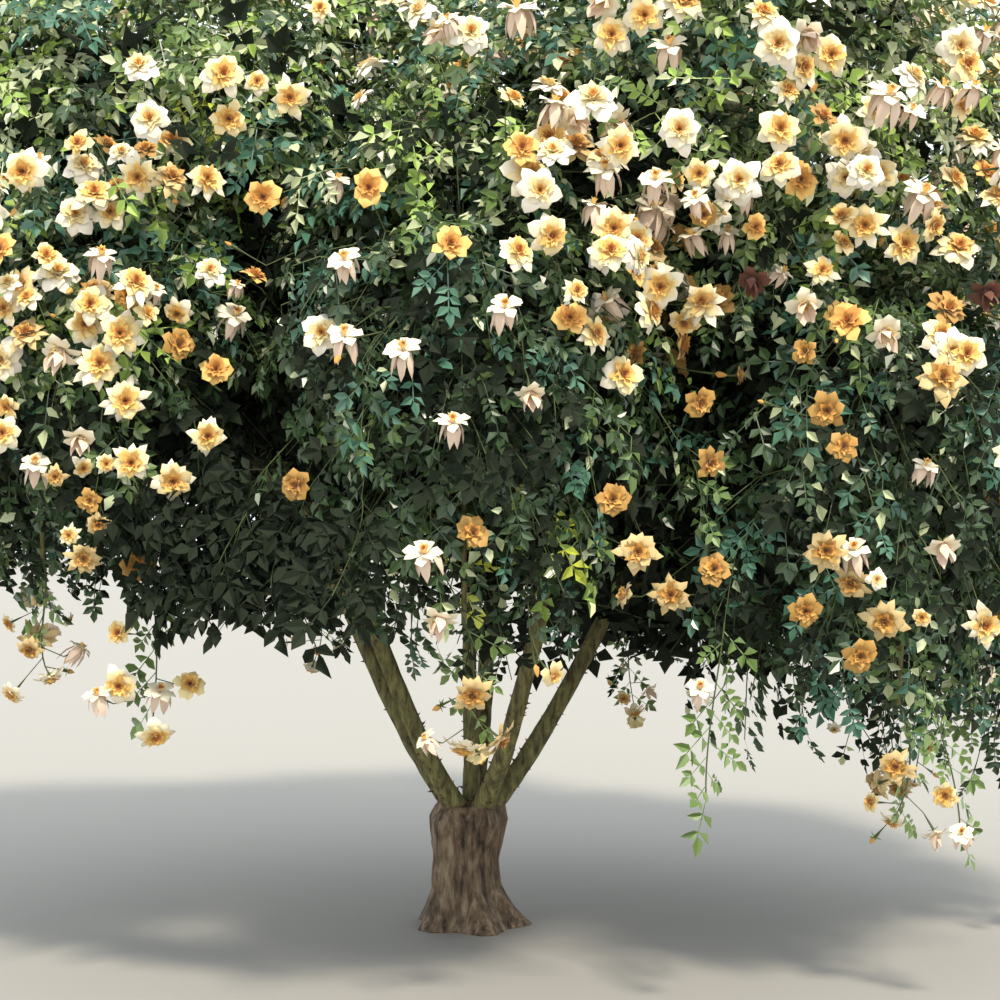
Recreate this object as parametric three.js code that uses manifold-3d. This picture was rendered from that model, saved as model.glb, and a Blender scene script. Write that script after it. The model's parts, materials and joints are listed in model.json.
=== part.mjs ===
// A large rambling rose grown as a free-standing bush, with double apricot flowers.
// A short gnarled trunk carries a leader and a ring of canes. Side branches leave the canes and arch
// outwards, and the crown hangs from them: a top mass, an upper ring, and a curtain of weeping masses
// round the space in which the trunk and canes stand. Each mass ends in a spray of flowers.
// Units are millimetres. +Z is up, the ground is Z = 0 and the front of the bush faces -Y.
import * as THREE from "three";
import { mergeVertices } from "three/addons/utils/BufferGeometryUtils.js";
import Module from "manifold-3d";

const wasm = await Module();
wasm.setup();

// The crown's plan is an ellipse. A place in it is an azimuth, 0 at the front and 90 at the right,
// a reach, as a share of the half width and half depth, and a height.
const HALF_WIDTH = 1500;
const HALF_DEPTH = 1080;
const CROWN_HEART = new THREE.Vector3(0, 0, 950);

// The trunk: its girth at the ground, at the waist and at the knuckle that the canes leave.
const FLARE_RADIUS = 108;
const WAIST_RADIUS = 64;
const KNUCKLE_RADIUS = 78;
const KNUCKLE_HEIGHT = 222;
const TRUNK_TOP = 262;
const TRUNK_LEAN = -18;
const TRUNK_SIDES = 15;
const ROOT_LOBES = 5;
const LOBE_DEPTH = 0.17;
const TRUNK_LEVELS = [
  { height: 0, radius: FLARE_RADIUS },
  { height: 34, radius: FLARE_RADIUS * 0.8 },
  { height: 82, radius: WAIST_RADIUS * 1.08 },
  { height: 140, radius: WAIST_RADIUS },
  { height: KNUCKLE_HEIGHT, radius: KNUCKLE_RADIUS },
  { height: TRUNK_TOP, radius: KNUCKLE_RADIUS * 0.6 },
];

// Limbs: the radii at the foot and the tip, the sides and steps of the tube, the share of +Z in the
// direction that the limb leaves in, and how far it holds to its first and its last direction.
const CANE_COUNT = 5;
const CANE_AZIMUTH = 28;
const CANE_DEPTH_IN_TRUNK = 12;
const LEADER = { radii: [17, 9], sides: 6, steps: 6, rise: 1, leaving: 300, entering: 300 };
const CANE = { radii: [21, 11], sides: 6, steps: 8, rise: 0.62, leaving: 260, entering: 300 };
const BRANCH = { radii: [11, 7], sides: 5, steps: 5, rise: 0.3, leaving: 120, entering: 120 };
const BRANCH_FEET = [0.66, 0.54];

// The masses of foliage: an ellipsoid each. The curtain hangs lowest towards one azimuth, and its
// masses are narrower beside the azimuth where it parts.
const TOP_HEIGHT = 1710;
const TOP_RADII = [620, 520, 430];
const UPPER_HEIGHT = 1590;
const UPPER_REACH = 0.56;
const UPPER_RADII = [600, 500, 480];
const CURTAIN_COUNT = 9;
const CURTAIN_AZIMUTH = -40;
const CURTAIN_REACH = 0.7;
const CURTAIN_SPREAD = [425, 345];
const CURTAIN_TOP = 1680;
const HEM_HIGH = 750;
const HEM_LOW = 330;
const HEM_SWEEP = 1.5;
const LOWEST_AZIMUTH = 95;
const PARTING_AZIMUTH = -20;
const PARTING_WIDTH = 21;
const PARTING_SHRINK = 0.84;

// Each mass's stem, as shares of the mass's radii from its centre, outwards and up: where the limb
// enters, the point that the stem bends round, and the stem's end. Rise is the limb's share of +Z.
const TOP_STEM = { entry: [0, -0.9], bend: [0, 0], end: [0.3, 0.76], rise: 1 };
const UPPER_STEM = { entry: [-0.5, -0.86], bend: [0, 0.3], end: [0.72, 0.42], rise: 0.86 };
const CURTAIN_STEM = { entry: [-0.82, -0.3], bend: [0.6, 1.1], end: [0.35, -0.88], rise: 0.7 };
const STEM_REACH = 0.4;
const STEM_TIP_RADIUS = 4.5;
const STEM_SIDES = 5;
const STEM_STEPS = 5;

// Clearances: two solids that meet end to end, a limb in its parent, foliage beside a limb, and
// the walls between neighbouring masses.
const JOINT_GAP = 0.3;
const SEAT_GROWTH = 0.45;
const KEEP_OUT_GROWTH = 3;
const WALL_MARGIN = 0.06;

// The dense middle of a mass.
const CORE_SHARE = 0.68;
const CORE_LUMPS = [0.84, 1.1];
const CORE_LEAST = 0.1;
const CORE_STEP = 0.02;
const CORE_WALL = 0.04;

// Twigs. Those that start near the trunk's side or end deep in a neighbour would not be seen.
const TWIG_TRIES = 22;
const TWIG_RADII = [6, 3.5];
const TWIG_SIDES = 3;
const TWIG_STEPS = 2;
const TWIG_TIP_SHARE = 0.85;
const TWIG_JITTER = 0.15;
const TWIG_ARCH = 0.16;
const TWIG_BACKSET = 0.15;
const FIRST_TWIG = 0.2;
const OPEN_DEPTH = 0.6;
const OPEN_ANGLE = -0.1;

// Leaves. One stands for a spray of the real, smaller ones.
const LEAF_LENGTH = 300;
const LEAF_WIDTH = 175;
const LEAF_THICKNESS = 9;
const LEAF_WIDEST = 0.45;
const LEAF_SIZES = [0.8, 1.12];
const LEAF_REACH = 1.16;
const LEAF_LIFT = [0, 0.5];
const LEAF_DROOP = [-0.9, -0.1];
const HANGING_LEAF_DROOP = [-1.3, -0.5];
const LEAVES_ON_TWIG = [0.8, 0.87, 0.94, 1];
const SKYWARD = 0.4;
const ROOT_SINK = 7;
const PLACING_TRIES = 8;

// Flowers: a rim of petal tips and notches round a domed heart, on a stalk.
const BLOOM_RADIUS = 58;
const BLOOM_SIZES = [0.9, 1.2];
const PETALS = 5;
const NOTCH_SHARE = 0.78;
const RIM_HEIGHT = 0.55;
const HEART_HEIGHT = 0.95;
const CALYX_RADIUS = 9;
const STALK_RADIUS = 3;
const STALK_SHARES = [0.3, 0.45];
const FLOWERS_IN_SPRAY = 3;
const SPRAY_LENGTH = 200;
const HANGING_SPRAY_LENGTH = 250;
const SPRAY_SAG = 0.2;

const RIGHT = new THREE.Vector3(1, 0, 0);
const UP = new THREE.Vector3(0, 0, 1);
const GOLDEN_ANGLE = 180 * (3 - Math.sqrt(5));

const bark = { color: 0x5d4630, roughness: 0.9, metalness: 0, flatShading: true };
const leaf = { color: 0x2f5a2a, roughness: 0.5, metalness: 0, flatShading: true };
const petal = { color: 0xf0a646, roughness: 0.6, metalness: 0, flatShading: true };

const bush = new THREE.Group();

// Seeded draws between 0 and 1, the same on every run.
function draws(seed) {
  let state = seed | 0;
  return () => {
    state = (state + 0x6d2b79f5) | 0;
    let mixed = Math.imul(state ^ (state >>> 15), 1 | state);
    mixed = (mixed + Math.imul(mixed ^ (mixed >>> 7), 61 | mixed)) ^ mixed;
    return ((mixed ^ (mixed >>> 14)) >>> 0) / 4294967296;
  };
}

const between = (draw, [low, high]) => low + (high - low) * draw();
const counted = (count, make) => Array.from({ length: count }, (_, index) => make(index));
const moved = (start, direction, length) => start.clone().addScaledVector(direction, length);
const grown = (radii, growth) => radii.map((radius) => radius + growth);

// The horizontal unit vector that points out of the bush at an azimuth.
function outward(azimuth) {
  const angle = THREE.MathUtils.degToRad(azimuth);
  return new THREE.Vector3(Math.sin(angle), -Math.cos(angle), 0);
}

function place(azimuth, reach, height) {
  const out = outward(azimuth);
  return new THREE.Vector3(out.x * reach * HALF_WIDTH, out.y * reach * HALF_DEPTH, height);
}

// A unit vector that leans out at an azimuth; rise is its share of +Z.
function leaning(azimuth, rise) {
  return outward(azimuth).multiplyScalar(Math.sqrt(1 - rise * rise)).addScaledVector(UP, rise);
}

// The angle between two azimuths, from 0 to 180.
function apart(a, b) {
  return Math.abs(((((a - b) % 360) + 540) % 360) - 180);
}

// Any unit vector square to a direction.
function squareTo(direction) {
  const side = Math.abs(direction.z) < 0.9 ? UP : RIGHT;
  return new THREE.Vector3().crossVectors(direction, side).normalize();
}

// A closed solid from points and triangles.
function solidOf(points, triangles) {
  return new wasm.Manifold(
    new wasm.Mesh({
      numProp: 3,
      vertProperties: new Float32Array(points.flatMap((point) => point.toArray())),
      triVerts: new Uint32Array(triangles.flat()),
    }),
  );
}

// The outer skin of the largest piece: loose scraps and sealed hollows are left behind.
function largestPiece(solid) {
  return solid.decompose().reduce((best, piece) => (piece.volume() > best.volume() ? piece : best));
}

const joined = (solids) => largestPiece(wasm.Manifold.union(solids));

function addNode(name, solid, look) {
  const mesh = solid.getMesh();
  const geometry = new THREE.BufferGeometry()
    .setAttribute("position", new THREE.BufferAttribute(new Float32Array(mesh.vertProperties), 3))
    .setIndex(new THREE.BufferAttribute(new Uint32Array(mesh.triVerts), 1));
  const node = new THREE.Mesh(geometry, new THREE.MeshStandardMaterial(look));
  node.name = name;
  bush.add(node);
}

// Points round a centre, square to an axis. Reach gives each point's distance from the centre.
function ring(centre, normal, axis, count, reach) {
  const across = new THREE.Vector3().crossVectors(axis, normal);
  return counted(count, (index) => {
    const angle = (index / count) * Math.PI * 2;
    const sideways = moved(centre, normal, Math.cos(angle) * reach(index));
    return moved(sideways, across, Math.sin(angle) * reach(index));
  });
}

// Closes rings of points, each with the same number, into one solid with flat ends.
function skin(rings) {
  const sides = rings[0].length;
  const last = (rings.length - 1) * sides;
  const triangles = [];
  for (let start = 0; start < last; start += sides) {
    for (let side = 0; side < sides; side += 1) {
      const here = start + side;
      const next = start + ((side + 1) % sides);
      triangles.push([here, next, next + sides], [here, next + sides, here + sides]);
    }
  }
  for (let side = 1; side < sides - 1; side += 1) {
    triangles.push([0, side + 1, side], [last, last + side, last + side + 1]);
  }
  return solidOf(rings.flat(), triangles);
}

// A tube with a straight taper along a curve, its rings carried along without twisting.
function tube(curve, radii, sides, steps) {
  const normal = squareTo(curve.getTangent(0));
  const turn = new THREE.Quaternion();
  let before = curve.getTangent(0);
  const rings = counted(steps + 1, (step) => {
    const share = step / steps;
    const along = curve.getTangent(share);
    normal.applyQuaternion(turn.setFromUnitVectors(before, along));
    before = along;
    const radius = THREE.MathUtils.lerp(radii[0], radii[1], share);
    return ring(curve.getPoint(share), normal, along, sides, () => radius);
  });
  return skin(rings);
}

// The trunk: a lobed flare at the ground, a leaning waist and a swollen knuckle.
function trunk(growth) {
  const rings = TRUNK_LEVELS.map(({ height, radius }) => {
    const lobe = LOBE_DEPTH * (1 - Math.min(1, height / KNUCKLE_HEIGHT));
    const lean = TRUNK_LEAN * Math.sin((Math.PI * height) / TRUNK_TOP);
    const centre = new THREE.Vector3(lean, 0, height === TRUNK_TOP ? height + growth : height);
    const swell = (side) => 1 + lobe * Math.cos((side / TRUNK_SIDES) * Math.PI * 2 * ROOT_LOBES);
    return ring(centre, RIGHT, UP, TRUNK_SIDES, (side) => (radius + growth) * swell(side));
  });
  return skin(rings);
}

// A mass: its ellipsoid, the place and direction in which its limb enters, and its stem's curve.
function makeMass({ name, azimuth, centre, radii, stem, limb, seed, hangs }) {
  const out = outward(azimuth);
  const spread = Math.hypot(out.x * radii[0], out.y * radii[1]);
  const at = ([across, up]) => moved(moved(centre, out, across * spread), UP, up * radii[2]);
  const heading = leaning(azimuth, stem.rise);
  const entry = at(stem.entry);
  const end = at(stem.end);
  const start = moved(entry, heading, JOINT_GAP);
  const second = moved(start, heading, entry.distanceTo(end) * STEM_REACH);
  const curve = new THREE.CubicBezierCurve3(start, second, at(stem.bend), end);
  return { name, azimuth, centre, radii, entry, heading, end, stem: curve, limb, seed, hangs };
}

function topMass() {
  return makeMass({
    name: "foliage_top",
    azimuth: CURTAIN_AZIMUTH,
    centre: new THREE.Vector3(0, 0, TOP_HEIGHT),
    radii: TOP_RADII,
    stem: TOP_STEM,
    limb: LEADER,
    seed: 1,
  });
}

function upperMass(index) {
  const azimuth = CANE_AZIMUTH + (index * 360) / CANE_COUNT;
  return makeMass({
    name: `foliage_upper_${index + 1}`,
    azimuth,
    centre: place(azimuth, UPPER_REACH, UPPER_HEIGHT),
    radii: UPPER_RADII,
    stem: UPPER_STEM,
    limb: CANE,
    seed: 2 + index,
  });
}

function hemHeight(azimuth) {
  const nearness = (1 + Math.cos(THREE.MathUtils.degToRad(azimuth - LOWEST_AZIMUTH))) / 2;
  return HEM_HIGH - (HEM_HIGH - HEM_LOW) * nearness ** HEM_SWEEP;
}

function curtainMass(index) {
  const azimuth = CURTAIN_AZIMUTH + (index * 360) / CURTAIN_COUNT;
  const drop = (CURTAIN_TOP - hemHeight(azimuth)) / 2;
  const shrink = apart(azimuth, PARTING_AZIMUTH) < PARTING_WIDTH ? PARTING_SHRINK : 1;
  return makeMass({
    name: `foliage_curtain_${index + 1}`,
    azimuth,
    centre: place(azimuth, CURTAIN_REACH, CURTAIN_TOP - drop),
    radii: [...CURTAIN_SPREAD.map((spread) => spread * shrink), drop],
    stem: CURTAIN_STEM,
    limb: BRANCH,
    seed: 2 + CANE_COUNT + index,
    hangs: true,
  });
}

const top = topMass();
const uppers = counted(CANE_COUNT, upperMass);
const curtains = counted(CURTAIN_COUNT, curtainMass);
const masses = [top, ...uppers, ...curtains];

// How far out a point is in a mass's ellipsoid: below 1 is inside.
function depthIn(mass, point) {
  return point.clone().sub(mass.centre).divide(new THREE.Vector3(...mass.radii)).lengthSq();
}

// A mass owns the part of the crown where no other mass's ellipsoid reaches deeper.
function owns(mass, point, reach) {
  const own = depthIn(mass, point);
  const deeper = (other) => other !== mass && depthIn(other, point) <= own + WALL_MARGIN;
  return own <= reach * reach && !masses.some(deeper);
}

// Thicker copies of the limbs and sprays, which foliage stays out of.
const keepOut = [];

// A limb runs from its foot to the mass that it enters, and is cut clear of the limb that bears it.
function addLimb(name, foot, mass, seat) {
  const { radii, sides, steps, rise, leaving, entering } = mass.limb;
  const curve = new THREE.CubicBezierCurve3(
    foot,
    moved(foot, leaning(mass.azimuth, rise), leaving),
    moved(mass.entry, mass.heading, -entering),
    mass.entry,
  );
  const grownTube = (growth) => tube(curve, grown(radii, growth), sides, steps);
  addNode(name, largestPiece(grownTube(0).subtract(seat)), bark);
  keepOut.push(grownTube(KEEP_OUT_GROWTH));
  return { azimuth: mass.azimuth, curve, seat: grownTube(SEAT_GROWTH) };
}

function addTrunk() {
  addNode("trunk", trunk(0), bark);
  keepOut.push(trunk(KEEP_OUT_GROWTH));
}

// The leader and canes leave the knuckle.
function addCanes() {
  const seat = trunk(SEAT_GROWTH);
  const foot = new THREE.Vector3(0, 0, KNUCKLE_HEIGHT - CANE_DEPTH_IN_TRUNK);
  addLimb("leader", foot, top, seat);
  return uppers.map((mass, index) => addLimb(`cane_${index + 1}`, foot, mass, seat));
}

// A branch leaves the cane that is nearest in azimuth.
function addBranch(mass, index, canes) {
  const nearer = (best, cane) =>
    apart(cane.azimuth, mass.azimuth) < apart(best.azimuth, mass.azimuth) ? cane : best;
  const cane = canes.reduce(nearer);
  const foot = cane.curve.getPoint(BRANCH_FEET[index % BRANCH_FEET.length]);
  addLimb(`branch_${index + 1}`, foot, mass, cane.seat);
}

// A thin leaf of six faces, from a root sunk into its twig to its tip, ridged along its middle.
function leafPoints(base, along, facing, size, sink) {
  const across = new THREE.Vector3().crossVectors(facing, along);
  const middle = moved(base, along, LEAF_LENGTH * size * LEAF_WIDEST);
  const half = (LEAF_WIDTH * size) / 2;
  return [
    moved(base, along, -sink),
    moved(base, along, LEAF_LENGTH * size),
    moved(middle, across, half),
    moved(middle, across, -half),
    moved(middle, facing, LEAF_THICKNESS),
  ];
}

function leafSolid(points) {
  const [root, tip, left, right, ridge] = points.keys();
  return solidOf(points, [
    [root, ridge, left],
    [left, ridge, tip],
    [tip, ridge, right],
    [right, ridge, root],
    [root, left, tip],
    [root, tip, right],
  ]);
}

// A double flower: a small flat calyx, a rim of petal tips and notches, and a domed heart.
const CALYX_CORNERS = 3;
const RIM_CORNERS = PETALS * 2;

function bloomPoints(foot, axis, radius) {
  const normal = squareTo(axis);
  const rimCentre = moved(foot, axis, radius * RIM_HEIGHT);
  return [
    ...ring(foot, normal, axis, CALYX_CORNERS, () => CALYX_RADIUS),
    ...ring(rimCentre, normal, axis, RIM_CORNERS, (index) => radius * (index % 2 ? NOTCH_SHARE : 1)),
    moved(foot, axis, radius * HEART_HEIGHT),
  ];
}

function bloomSolid(points) {
  const heart = points.length - 1;
  const rim = (index) => CALYX_CORNERS + (index % RIM_CORNERS);
  const triangles = [[0, 2, 1]];
  let corner = 0;
  for (let index = 0; index < RIM_CORNERS; index += 1) {
    triangles.push([rim(index), rim(index + 1), heart]);
    triangles.push([corner % CALYX_CORNERS, rim(index + 1), rim(index)]);
    if ((corner + 1) / CALYX_CORNERS <= (index + 1) / RIM_CORNERS) {
      triangles.push([corner % CALYX_CORNERS, (corner + 1) % CALYX_CORNERS, rim(index + 1)]);
      corner += 1;
    }
  }
  return solidOf(points, triangles);
}

// A stalk with its flower, whose calyx sits over the stalk's end.
function stalkAndFlower(root, axis, length, size, growth) {
  const foot = moved(root, axis, length);
  const stalk = new THREE.LineCurve3(root, moved(foot, axis, ROOT_SINK));
  const radii = grown([STALK_RADIUS, STALK_RADIUS], growth);
  return [tube(stalk, radii, TWIG_SIDES, 1), bloomSolid(bloomPoints(foot, axis, size + growth))];
}

// A spray carries on from the end of a mass's stem, with a flower at its tip and on each side stalk.
function spray(mass, growth) {
  const draw = draws(mass.seed * 7);
  const length = mass.hangs ? HANGING_SPRAY_LENGTH : SPRAY_LENGTH;
  const heading = mass.stem.getTangent(1);
  const start = moved(mass.end, heading, JOINT_GAP);
  const tip = moved(moved(start, heading, length), UP, -SPRAY_SAG * length);
  const curve = new THREE.QuadraticBezierCurve3(start, moved(start, heading, length / 2), tip);
  const solids = [tube(curve, grown([STEM_TIP_RADIUS, STALK_RADIUS], growth), 4, 2)];
  for (let flower = 1; flower <= FLOWERS_IN_SPRAY; flower += 1) {
    const share = flower / FLOWERS_IN_SPRAY;
    const along = curve.getTangent(share);
    const side = squareTo(along).applyAxisAngle(along, flower * Math.PI + draw());
    const axis = share < 1 ? side.addScaledVector(along, 0.6).normalize() : along;
    const stalkLength = share < 1 ? length * between(draw, STALK_SHARES) : 0;
    const size = BLOOM_RADIUS * between(draw, BLOOM_SIZES);
    solids.push(...stalkAndFlower(curve.getPoint(share), axis, stalkLength, size, growth));
  }
  return joined(solids);
}

function addSpray(mass) {
  addNode(mass.name.replace("foliage", "flowers"), spray(mass, 0), petal);
  keepOut.push(spray(mass, KEEP_OUT_GROWTH));
}

// The nth of many directions spread evenly over a ball.
function spreadDirection(index, count) {
  const z = 1 - (2 * index + 1) / count;
  return outward(index * GOLDEN_ANGLE).multiplyScalar(Math.sqrt(1 - z * z)).addScaledVector(UP, z);
}

// The point of a mass in a direction, at a share of its radii.
function inMass(mass, direction, share) {
  return new THREE.Vector3(...mass.radii).multiply(direction).multiplyScalar(share).add(mass.centre);
}

// The dense middle of a mass: a lumpy ball, drawn in wherever it would leave the mass's own space.
function core(mass, draw, blocked) {
  const ball = new THREE.IcosahedronGeometry(1, 1);
  ball.deleteAttribute("normal");
  ball.deleteAttribute("uv");
  const merged = mergeVertices(ball);
  const position = merged.getAttribute("position");
  const points = counted(position.count, (index) => {
    const direction = new THREE.Vector3().fromBufferAttribute(position, index);
    let share = CORE_SHARE * between(draw, CORE_LUMPS);
    while (share > CORE_LEAST && !owns(mass, inMass(mass, direction, share + CORE_WALL), 1)) {
      share -= CORE_STEP;
    }
    return inMass(mass, direction, share);
  });
  return solidOf(points, [...merged.index.array]).subtract(blocked);
}

// Where on the stem a twig starts: a little before the point that is nearest to its tip.
function twigFoot(mass, tip) {
  const shares = counted(12, (step) => (step + 1) / 12);
  const distance = (share) => mass.stem.getPoint(share).distanceTo(tip);
  const nearest = shares.reduce((best, share) => (distance(share) < distance(best) ? share : best));
  return mass.stem.getPoint(Math.max(FIRST_TWIG, nearest - TWIG_BACKSET));
}

// Twigs rise from the stem and droop at their tips.
function twigCurve(mass, tip) {
  const foot = twigFoot(mass, tip);
  const middle = moved(foot.clone().lerp(tip, 0.55), UP, TWIG_ARCH * foot.distanceTo(tip));
  return new THREE.QuadraticBezierCurve3(foot, middle, tip);
}

// The way out of a mass at a point, turned a little to the sky.
function facingAt(mass, point, skyward) {
  const radii = new THREE.Vector3(...mass.radii);
  const out = point.clone().sub(mass.centre).divide(radii).divide(radii).normalize();
  return out.addScaledVector(UP, skyward).normalize();
}

// Whether a twig's tip is on the crown's outside, and not deep in a neighbouring mass.
function isOpen(mass, tip, direction) {
  const outside = tip.clone().sub(CROWN_HEART).normalize().dot(direction) > OPEN_ANGLE;
  return outside && masses.every((other) => other === mass || depthIn(other, tip) > OPEN_DEPTH);
}

// A leaf leaves its twig to one side (1 or -1), and the last one carries on from the tip (0).
function leafOn(mass, curve, share, side, draw) {
  const base = curve.getPoint(share);
  const facing = facingAt(mass, base, SKYWARD);
  const along = curve.getTangent(share);
  const across = new THREE.Vector3().crossVectors(facing, along).normalize();
  along.multiplyScalar(side ? 0.5 : 1).addScaledVector(across, side || between(draw, [-0.4, 0.4]));
  along.addScaledVector(facing, between(draw, LEAF_LIFT) - along.dot(facing));
  along.addScaledVector(UP, between(draw, mass.hangs ? HANGING_LEAF_DROOP : LEAF_DROOP)).normalize();
  facing.addScaledVector(along, -facing.dot(along)).normalize();
  return leafPoints(base, along, facing, between(draw, LEAF_SIZES), side ? 0 : ROOT_SINK);
}

// A flower at a twig's tip, its calyx sunk over the twig's end.
function bloomOn(mass, curve, draw) {
  const tip = curve.getPoint(1);
  const axis = facingAt(mass, tip, SKYWARD / 2).add(curve.getTangent(1)).normalize();
  return bloomPoints(moved(tip, axis, -ROOT_SINK), axis, BLOOM_RADIUS * between(draw, BLOOM_SIZES));
}

// What grows on a twig: the leaves, and on some twigs the flower, that find room there.
function twigGrowth(mass, curve, hasFlower, draw, isClear) {
  const growth = [];
  const addFirstThatFits = (makePoints, makeSolid) => {
    for (let attempt = 0; attempt < PLACING_TRIES; attempt += 1) {
      const points = makePoints();
      const solid = makeSolid(points);
      if (isClear(points, solid, growth)) {
        growth.push(solid);
        return;
      }
    }
  };
  if (hasFlower) addFirstThatFits(() => bloomOn(mass, curve, draw), bloomSolid);
  LEAVES_ON_TWIG.filter((share) => share < 1 || !hasFlower).forEach((share, index) => {
    const side = share < 1 ? 1 - 2 * (index % 2) : 0;
    addFirstThatFits(() => leafOn(mass, curve, share, side, draw), leafSolid);
  });
  return growth;
}

// One mass: its stem and dense middle, and the twigs and leaves that stand out of it.
function foliage(mass, blocked) {
  const draw = draws(mass.seed);
  const middle = core(mass, draw, blocked);
  const stem = tube(mass.stem, [mass.limb.radii[1], STEM_TIP_RADIUS], STEM_SIDES, STEM_STEPS);
  const solids = [stem, middle];
  let taken = wasm.Manifold.union([blocked, stem]);
  const isFree = (points, solid, reach, others) =>
    points.every((point) => owns(mass, point, reach)) &&
    [taken, ...others].every((other) => other.intersect(solid).isEmpty());
  const isClear = (points, solid, growth) => isFree(points, solid, LEAF_REACH, [middle, ...growth]);
  for (let index = 0; index < TWIG_TRIES; index += 1) {
    const jitter = new THREE.Vector3(draw(), draw(), draw()).multiplyScalar(2 * TWIG_JITTER);
    const aim = spreadDirection(index, TWIG_TRIES).add(jitter.subScalar(TWIG_JITTER)).normalize();
    const tip = inMass(mass, aim, TWIG_TIP_SHARE);
    const curve = twigCurve(mass, tip);
    const twig = tube(curve, TWIG_RADII, TWIG_SIDES, TWIG_STEPS);
    if (isOpen(mass, tip, aim) && isFree(curve.getPoints(6), twig.subtract(middle), 1, [])) {
      const growth = twigGrowth(mass, curve, index % 2 === 1, draw, isClear);
      solids.push(twig, ...growth);
      taken = wasm.Manifold.union([taken, ...growth]);
    }
  }
  return joined(solids);
}

addTrunk();
const canes = addCanes();
curtains.forEach((mass, index) => addBranch(mass, index, canes));
masses.forEach(addSpray);
const blocked = wasm.Manifold.union(keepOut);
masses.forEach((mass) => addNode(mass.name, foliage(mass, blocked), leaf));

export default bush;
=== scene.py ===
# %% [markdown]
# # A rambling rose in flower
# This lesson dresses the plain solids of a rose bush. The solids hold the size and the place of the
# trunk, the canes and every mass of foliage. The script grows bark, twigs, leaves and flowers on them.
# A plant is a rule that repeats: a stem bears twigs, a twig bears shoots, a shoot bears leaves or a
# flower. So the steps work out where things grow with arrays of numbers, and Geometry Nodes then turn
# the arrays into meshes.

# %% Load the solids
from collections import namedtuple
import json
import math

import bpy
import numpy as np
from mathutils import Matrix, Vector, noise
from mathutils.kdtree import KDTree

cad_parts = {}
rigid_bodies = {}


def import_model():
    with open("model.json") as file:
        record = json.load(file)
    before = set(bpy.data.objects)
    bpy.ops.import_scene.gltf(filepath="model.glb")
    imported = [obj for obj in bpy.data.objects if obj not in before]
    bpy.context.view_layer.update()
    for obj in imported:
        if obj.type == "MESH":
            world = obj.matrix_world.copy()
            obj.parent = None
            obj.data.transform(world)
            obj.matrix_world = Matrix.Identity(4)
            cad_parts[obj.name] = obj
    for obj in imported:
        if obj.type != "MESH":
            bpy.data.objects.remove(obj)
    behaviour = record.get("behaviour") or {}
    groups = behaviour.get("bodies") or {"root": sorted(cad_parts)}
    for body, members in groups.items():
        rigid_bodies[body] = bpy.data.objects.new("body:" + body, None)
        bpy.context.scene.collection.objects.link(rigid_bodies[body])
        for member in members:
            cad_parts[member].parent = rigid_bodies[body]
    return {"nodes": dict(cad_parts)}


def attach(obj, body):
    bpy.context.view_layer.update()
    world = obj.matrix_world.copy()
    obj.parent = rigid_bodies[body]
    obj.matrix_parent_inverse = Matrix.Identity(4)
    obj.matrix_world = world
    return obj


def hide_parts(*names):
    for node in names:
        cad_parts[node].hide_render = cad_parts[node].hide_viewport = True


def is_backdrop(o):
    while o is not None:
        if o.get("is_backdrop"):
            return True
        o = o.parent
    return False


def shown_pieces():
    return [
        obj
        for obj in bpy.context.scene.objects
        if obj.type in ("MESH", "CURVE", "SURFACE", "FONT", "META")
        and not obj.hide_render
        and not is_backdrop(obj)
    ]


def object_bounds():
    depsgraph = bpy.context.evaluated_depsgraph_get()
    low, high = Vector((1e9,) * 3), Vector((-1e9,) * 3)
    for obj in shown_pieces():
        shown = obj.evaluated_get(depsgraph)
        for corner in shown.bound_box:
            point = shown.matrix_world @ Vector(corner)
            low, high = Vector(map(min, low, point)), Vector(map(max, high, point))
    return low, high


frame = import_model()
SOLIDS_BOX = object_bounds()
BOX_LOW, BOX_HIGH = (np.array(corner) for corner in SOLIDS_BOX)
print("nodes:", len(frame["nodes"]), "box:", BOX_LOW.round(3), BOX_HIGH.round(3))

# %% [markdown]
# ## Where the camera stands
# The photograph looks level at the bush, from a little under the middle of its height, and its frame
# cuts the bush at the left, the right and the top. The camera comes first, because two helpers need
# it: one turns a place on the bush into a pixel of the photograph, and the other turns a pixel into
# the line of sight through it. Flowers that the photograph shows can then be put where they belong.

# %% Camera
PICTURE = 1000
CAMERA_AT = np.array([0.06, -4.2, 0.89])
LENS, SENSOR = 72, 36
FOCAL = PICTURE * LENS / SENSOR


def unit(vectors):
    return vectors / np.maximum(np.linalg.norm(vectors, axis=-1, keepdims=True), 1e-9)


def pixels_of(points):
    """Where points land in the photograph, in pixels from its top left corner."""
    away = points - CAMERA_AT
    return PICTURE / 2 + FOCAL * away[..., [0, 2]] * [1, -1] / away[..., 1:2]


def sight_through(pixels):
    """Unit vectors from the camera through pixels of the photograph."""
    right, down = np.moveaxis(np.asarray(pixels, float) - PICTURE / 2, -1, 0)
    return unit(np.stack([right, np.full(right.shape, FOCAL), -down], axis=-1))


def new_object(name, data):
    made = bpy.data.objects.new(name, data)
    bpy.context.scene.collection.objects.link(made)
    return made


camera = new_object("camera", bpy.data.cameras.new("camera"))
camera.location = CAMERA_AT
camera.rotation_euler = (math.pi / 2, 0, 0)
camera.data.lens = LENS
camera.data.sensor_width = SENSOR
bpy.context.scene.camera = camera
print("the middle of the box lands at pixel", pixels_of((BOX_LOW + BOX_HIGH) / 2).round())

# %% [markdown]
# ## The shape of the crown
# The crown is fifteen ellipsoids: a top mass, a ring of five upper masses, and a curtain of nine that
# hang round the trunk. A limb enters each one, and its stem carries on inside. The solids were made
# from these same sizes, so foliage that grows by them fills the space that the solids hold.
# Lengths are metres. An azimuth is 0 at the front and 90 at the right.

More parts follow.
